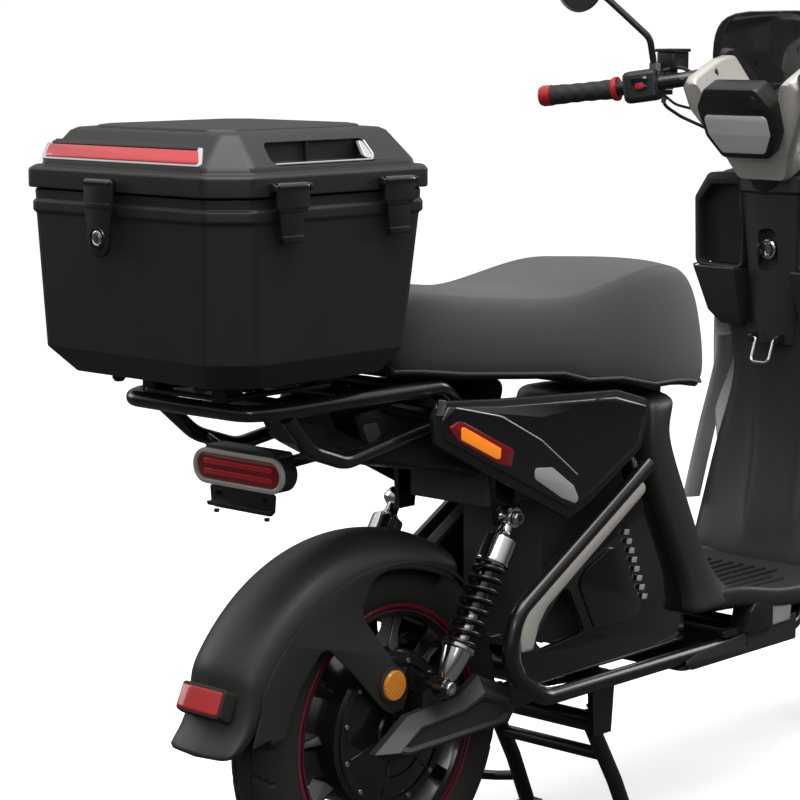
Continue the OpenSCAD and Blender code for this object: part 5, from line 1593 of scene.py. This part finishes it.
def pods():
    """The switch pods with their buttons, the lever brackets, and a fluid reservoir on each side."""
    inner, outer = Vector((-113, 140, 132)), Vector((-136, 187, 124.5))
    parts = []
    for side, tag in SIDES:
        flip = Vector((1, side, 1))
        a = HEAD + inner * flip * MM
        b = HEAD + outer * flip * MM
        along = (b - a).normalized()
        back = along.cross(Vector((0, 0, 1))).normalized()
        if back.x > 0:
            back = -back
        up = back.cross(along).normalized()
        if up.z < 0:
            up = -up
        length = (b - a).length / MM
        rings = []
        for w, k in ((0, 0.84), (3, 0.97), (8, 1.0), (length - 10, 1.0), (length - 4, 0.95), (length, 0.8)):
            ring = rounded([(-23 * k, -25 * k), (19 * k, -25 * k), (19 * k, 21 * k), (-19 * k, 24 * k)],
                           9 * k, 4)
            rings.append([a + (along * w + back * -u + up * v) * MM for u, v in ring])
        pod = piece(f"switch_pod_{tag}", *skinned(rings), DARK_PLASTIC, "steering", bevel=1)
        if side < 0:
            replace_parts(pod, "switch_pods")

        def face(u, v, w, a=a, along=along, back=back, up=up):
            """u along the bar, v up, w out of the pod's rear face."""
            return a + (along * u + up * v + back * (w + 22)) * MM
        rocker = rounded([(12, 6), (38, 4), (38, 13), (14, 15)], 3)
        plate(f"pod_rocker_{tag}", [rocker], face, -1, 3.4, GLOSS_BLACK, "steering", 1)
        slide = rounded([(16, -6), (32, -7), (32, 0), (16, 1)], 2)
        plate(f"pod_slider_{tag}", [slide], face, -1, 2.4, GLOSS_BLACK, "steering", 0.8)
        seam = [(2, -25), (3, -25), (3, 22), (2, 22)]
        plate(f"pod_seam_{tag}", [seam], face, -2, 1.0, GLOSS_BLACK, "steering", 0.2)
        if side > 0:
            press = middle("horn_button")
            nub = rounded([(-7, -5), (7, -5), (7, 5), (-7, 5)], 3)
            button = plate("horn_cap", [nub], lambda u, v,
                           w: press + (along * u + up * v + back * w) * MM, -6, 4.4, RED_RUBBER, "horn",
                           1.4)
            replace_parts(button, "horn_button")
        base = by_head(-78, side * 142, 152)
        for k, (z0, z1, grow) in enumerate(((0, 26, 0), (26, 31, 2.4))):
            loop = rounded([(-20 - grow, -17 - grow), (20 + grow, -17 - grow), (20 + grow, 17 + grow),
                            (-20 - grow, 17 + grow)], 5)
            plate(f"reservoir_{k}_{tag}", [loop], lambda u, v, w: base + Vector((u, v, w)) * MM, z0, z1,
                  DARK_PLASTIC, "steering", 1.6)
        bridge = rounded([(-20, -12), (30, -12), (30, 12), (-20, 12)], 6)
        plate(f"master_cylinder_{tag}", [bridge], lambda u, v,
              w: by_head(-96 + u, side * LEVER_Y + v, 128 + w), 2, 25, CAST_BLACK, "steering", 4)
        for z in (-14, 6.5):
            lug = rounded([(-34, -9), (0, -9), (7, -5), (9, 0), (7, 5), (0, 9), (-34, 9)], 3)
            parts.append(plate("g", [lug], lambda u, v, w: by_head(-80 + u, side * LEVER_Y + v, 128 + w),
                               z, z + 7.5, CAST_BLACK, "steering", 0.8))
        bolt(f"lever_bolt_{tag}", by_head(-80, side * LEVER_Y, 142), (0, 0, 1), 5.5, 4, CHROME,
             "steering")
    joined("lever_brackets", parts)


def levers():
    """Brake levers: a cast blade that swells to a ball at its tip."""
    path = ((-80, 150, 128), (-62, 192, 124), (-76, 240, 120), (-112, 312, 112))
    for side, tag in SIDES:
        line = smooth_path(on_side(side, path, by_head), 60, 8)
        count = len(line)
        radii = [5.4 - 1.2 * i / count for i in range(count - 2)] + [5.6, 3.0]
        blade = piece(f"lever_blade_{tag}", *skinned(rings_along(line, radii, 14)), DARK_PLASTIC,
                      f"lever_{tag}", angle=60)
        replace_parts(blade, f"brake_lever_{tag}")
        pivot = by_head(-80, side * LEVER_Y, 128)
        lathe(f"lever_boss_{tag}", [(4.1, -5.8), (9, -5.8), (9, 5.8), (4.1, 5.8)], pivot, (0, 0, 1),
              CAST_BLACK, f"lever_{tag}", 32)


def cables():
    """Brake hoses and control cables that loop from the levers and pods into the cover."""
    routes = [
        ((-84, 152, 112), (-66, 168, 98), (-45, 150, 80), (-30, 110, 62), (-20, 68, 58)),
        ((-112, 138, 118), (-96, 122, 100), (-70, 104, 92), (-40, 84, 84), (-24, 70, 76)),
        ((-104, 142, 150), (-84, 122, 158), (-66, 104, 140), (-48, 82, 112), (-34, 70, 92))]
    for side, tag in SIDES:
        for k, route in enumerate(routes):
            path = on_side(side, route, by_head)
            line = tube(f"bar_cable_{k}_{tag}", path, (2.6, 2.1, 3.0)[k], RUBBER, "steering", 30, 10,
                        slot="cable_black")
            if k == 0 and side < 0:
                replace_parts(line, "cables")
        lathe(f"cable_ferrule_{tag}", [(0, 0), (4, 0), (4, 9), (3, 11), (0, 11)],
              by_head(-84, side * 152, 112), (0.1, side * 0.3, -1), STEEL, "steering", 20, closed=False)


def mirrors():
    """Round mirrors: a dished shell with a glass that faces the rider, on a bent stem."""
    for side, tag in SIDES:
        path = on_side(side, ((-112, 150, 150), (-125, 150, 199), (-160, 205, 258), (-160, 244, 280)),
                       by_head)
        stem = tube(f"mirror_stem_{tag}", path, 5, DARK_PLASTIC, f"mirror_{tag}", 26, 16)
        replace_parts(stem, f"mirror_{tag}")
        spot = by_head(-164, side * 250, 282)
        shell = [(0, -10), (20, -9), (36, -4), (44, 3), (45, 7), (43.4, 8), (42, 6.4), (0, 6.4)]
        lathe(f"mirror_shell_{tag}", shell, spot, (-1, 0, 0), DARK_PLASTIC, f"mirror_{tag}", 72,
              closed=False)
        glass = [(0, 6.6), (42, 6.2), (41.5, 5.6), (0, 5.6)]
        lathe(f"mirror_glass_{tag}", glass, spot, (-1, 0, 0), MIRROR, f"mirror_{tag}", 72, closed=False)
        lathe(f"mirror_nut_{tag}", [(5.2, -4), (9, -4), (9, 6), (5.2, 6)], by_head(-112, side * 150, 156),
              (0, 0, 1), STEEL, f"mirror_{tag}", 6)


def fork():
    """The fork's cast sliders that carry the wheel, with their seals, axle caps and the brake caliper."""
    axle = middle("front_tyre")
    up = Vector((-math.sin(RAKE), 0, math.cos(RAKE)))
    travel = joint("fork_travel")["range_m"][1] / MM
    tube_end = (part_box("fork_stem")[0].z - axle.z) / MM / math.cos(RAKE)
    bore = tube_end - travel - 4
    for side, tag in SIDES:
        foot = Vector((axle.x, side * FORK_Y * MM, axle.z))
        slider = [(0, -26), (18, -26), (20.5, -20), (20.5, 172), (21.4, 180), (21.4, 194), (19, 198),
                  (14.6, 199), (14.6, bore), (0, bore)]
        leg = lathe(f"fork_slider_{tag}", slider, foot, up, CAST_BLACK, "fork_lower", 48, closed=False)
        if side < 0:
            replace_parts(leg, "fork_legs")
        seal = [(14.3, 198), (19, 198), (18, 206), (14.3, 208)]
        lathe(f"fork_seal_{tag}", seal, foot, up, RUBBER, "fork_lower", 40)
        lathe(f"axle_cap_{tag}", [(0, 10), (10, 10), (12, 6), (12, -2), (0, -2)],
              foot + Vector((0, side * 20, 0)) * MM, (0, side, 0), STEEL, "fork_lower", 32, closed=False)
    bolt("brake_caliper_bolt", axle + Vector((-82, -66, 46)) * MM, (0, -1, 0), 6, 5, STEEL, "fork_lower")
    caliper = rounded([(-112, 10), (-60, 22), (-56, 66), (-84, 84), (-112, 60)], 12)
    plate("brake_caliper", [caliper], lambda u, v, w: axle + Vector((u, -w, v)) * MM, 48, 64, CAST_BLACK,
          "fork_lower", 3)


def front_fender():
    """The short crowned fender over the front tyre."""
    axle = middle("front_tyre")
    rings = []
    for k in range(0, 33):
        turn = math.radians(33 + k * 3.6)
        profile = [(0, 27), (14, 26), (28, 22), (38, 14), (45, 2), (49, -16), (50, -34), (46, -34),
                   (45, -16), (41, 0), (34, 10), (24, 17), (12, 21.5), (0, 22.5)]
        ring = []
        for side in (1, -1):
            line = profile if side > 0 else profile[-2:0:-1]
            ring += [axle + Vector(((TYRE_R + lift) * math.cos(turn), side * y,
                                    (TYRE_R + lift) * math.sin(turn))) * MM for y, lift in line]
        rings.append(ring)
    shell = piece("front_guard", *skinned(rings), GREY_PLASTIC, "fork_lower", levels=1)
    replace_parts(shell, "front_fender")


# --- Stand --------------------------------------------------------------------------------------

def stand():
    """The centre stand: two bent legs with feet, cross bars, a foot lever and its spring."""
    pin = joint_at("stand_pivot")
    parts = [tube("p", [pin + Vector((0, -102, 0)) * MM, pin + Vector((0, 102, 0)) * MM], 14, FRAME_BLACK,
                  "stand", 0)]
    for side in (-1, 1):
        leg = [at(341, side * 90, 180), at(396, side * 92, 84), at(430, side * 94, 10)]
        parts.append(tube("l", leg, 11, FRAME_BLACK, "stand", 90))
    parts.append(tube("c", [at(372, -90, 126), at(372, 90, 126)], 9, FRAME_BLACK, "stand", 0))
    parts.append(tube("f", [at(414, 92, 50), at(404, 130, 44), at(392, 150, 44)], 7, FRAME_BLACK, "stand",
                      14))
    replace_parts(joined("stand_legs", parts), "centre_stand")
    for side in (-1, 1):
        pad = rounded([(404, side * 94 - 15), (453, side * 94 - 15), (453, side * 94 + 15),
                       (404, side * 94 + 15)], 7)
        plate(side_name("stand_foot", side), [pad], at, 0, 8, FRAME_BLACK, "stand", 2)
    spring("stand_spring", at(352, -74, 168), at(392, -74, 232), 7, 1.5, 11, "stand")


def under_frame():
    """The dark block of cables, controller and motor harness seen under the seat and behind the covers."""
    box = [[at(x, y, z) for x, y in rounded([(150, -72), (250, -72), (250, 72), (150, 72)], 10)]
           for z in (500, 503, 566, 570)]
    piece("controller", *skinned(box), BATTERY, "chassis", bevel=1.5)
    fins = [plate("f", [[(160, y - 1.4), (240, y - 1.4), (240, y + 1.4), (160, y + 1.4)]], at, 569, 577,
                  BATTERY, "chassis", 0.4) for y in range(-60, 61, 12)]
    joined("controller_fins", fins)
    for k, (y, drop) in enumerate(((-60, 0), (-48, 12), (40, 6))):
        path = [at(250, y, 540 - drop), at(300, y - 6, 556), at(370, y, 552 - drop), at(420, y + 4, 540)]
        tube(f"harness_{k}", path, 5 - k, RUBBER, "chassis", 40, 10, slot="cable_black")


# --- Finishes of the CAD pieces that stay ------------------------------------------------------

KEPT = {
    "main_frame": FRAME_BLACK, "battery_pack": BATTERY, "swing_arm": FRAME_BLACK, "fork_stem": CAST_BLACK}


def paint_kept():
    """Gives the CAD pieces that still show their finishes."""
    for name, obj in frame["nodes"].items():
        obj.data.materials.clear()
        obj.data.materials.append(KEPT.get(name, DARK_PLASTIC))


studio()
camera()
paint_kept()
top_box()
box_lid()
rear_reflector()
for end in ("rear", "front"):
    for way in (-1, 1):
        clip(end, way)
hasp()
rack()
undertray()
tail_light()
rear_fender()
fender_reflectors()
swing_covers()
axle_hardware()
for way, letter in SIDES:
    shock(way, letter)
rear_wheel()
front_wheel()
seat()
upper_panels()
lower_covers()
pillar()
floor()
foot_pegs()
frame_loops()
sill()
leg_shield()
stem_cover()
glove_pockets()
bag_hook()
apron()
bar_cover()
dash()
windshield()
headlight()
bars()
grip(1)
grip(-1)
pods()
levers()
cables()
mirrors()
fork()
front_fender()
stand()
under_frame()
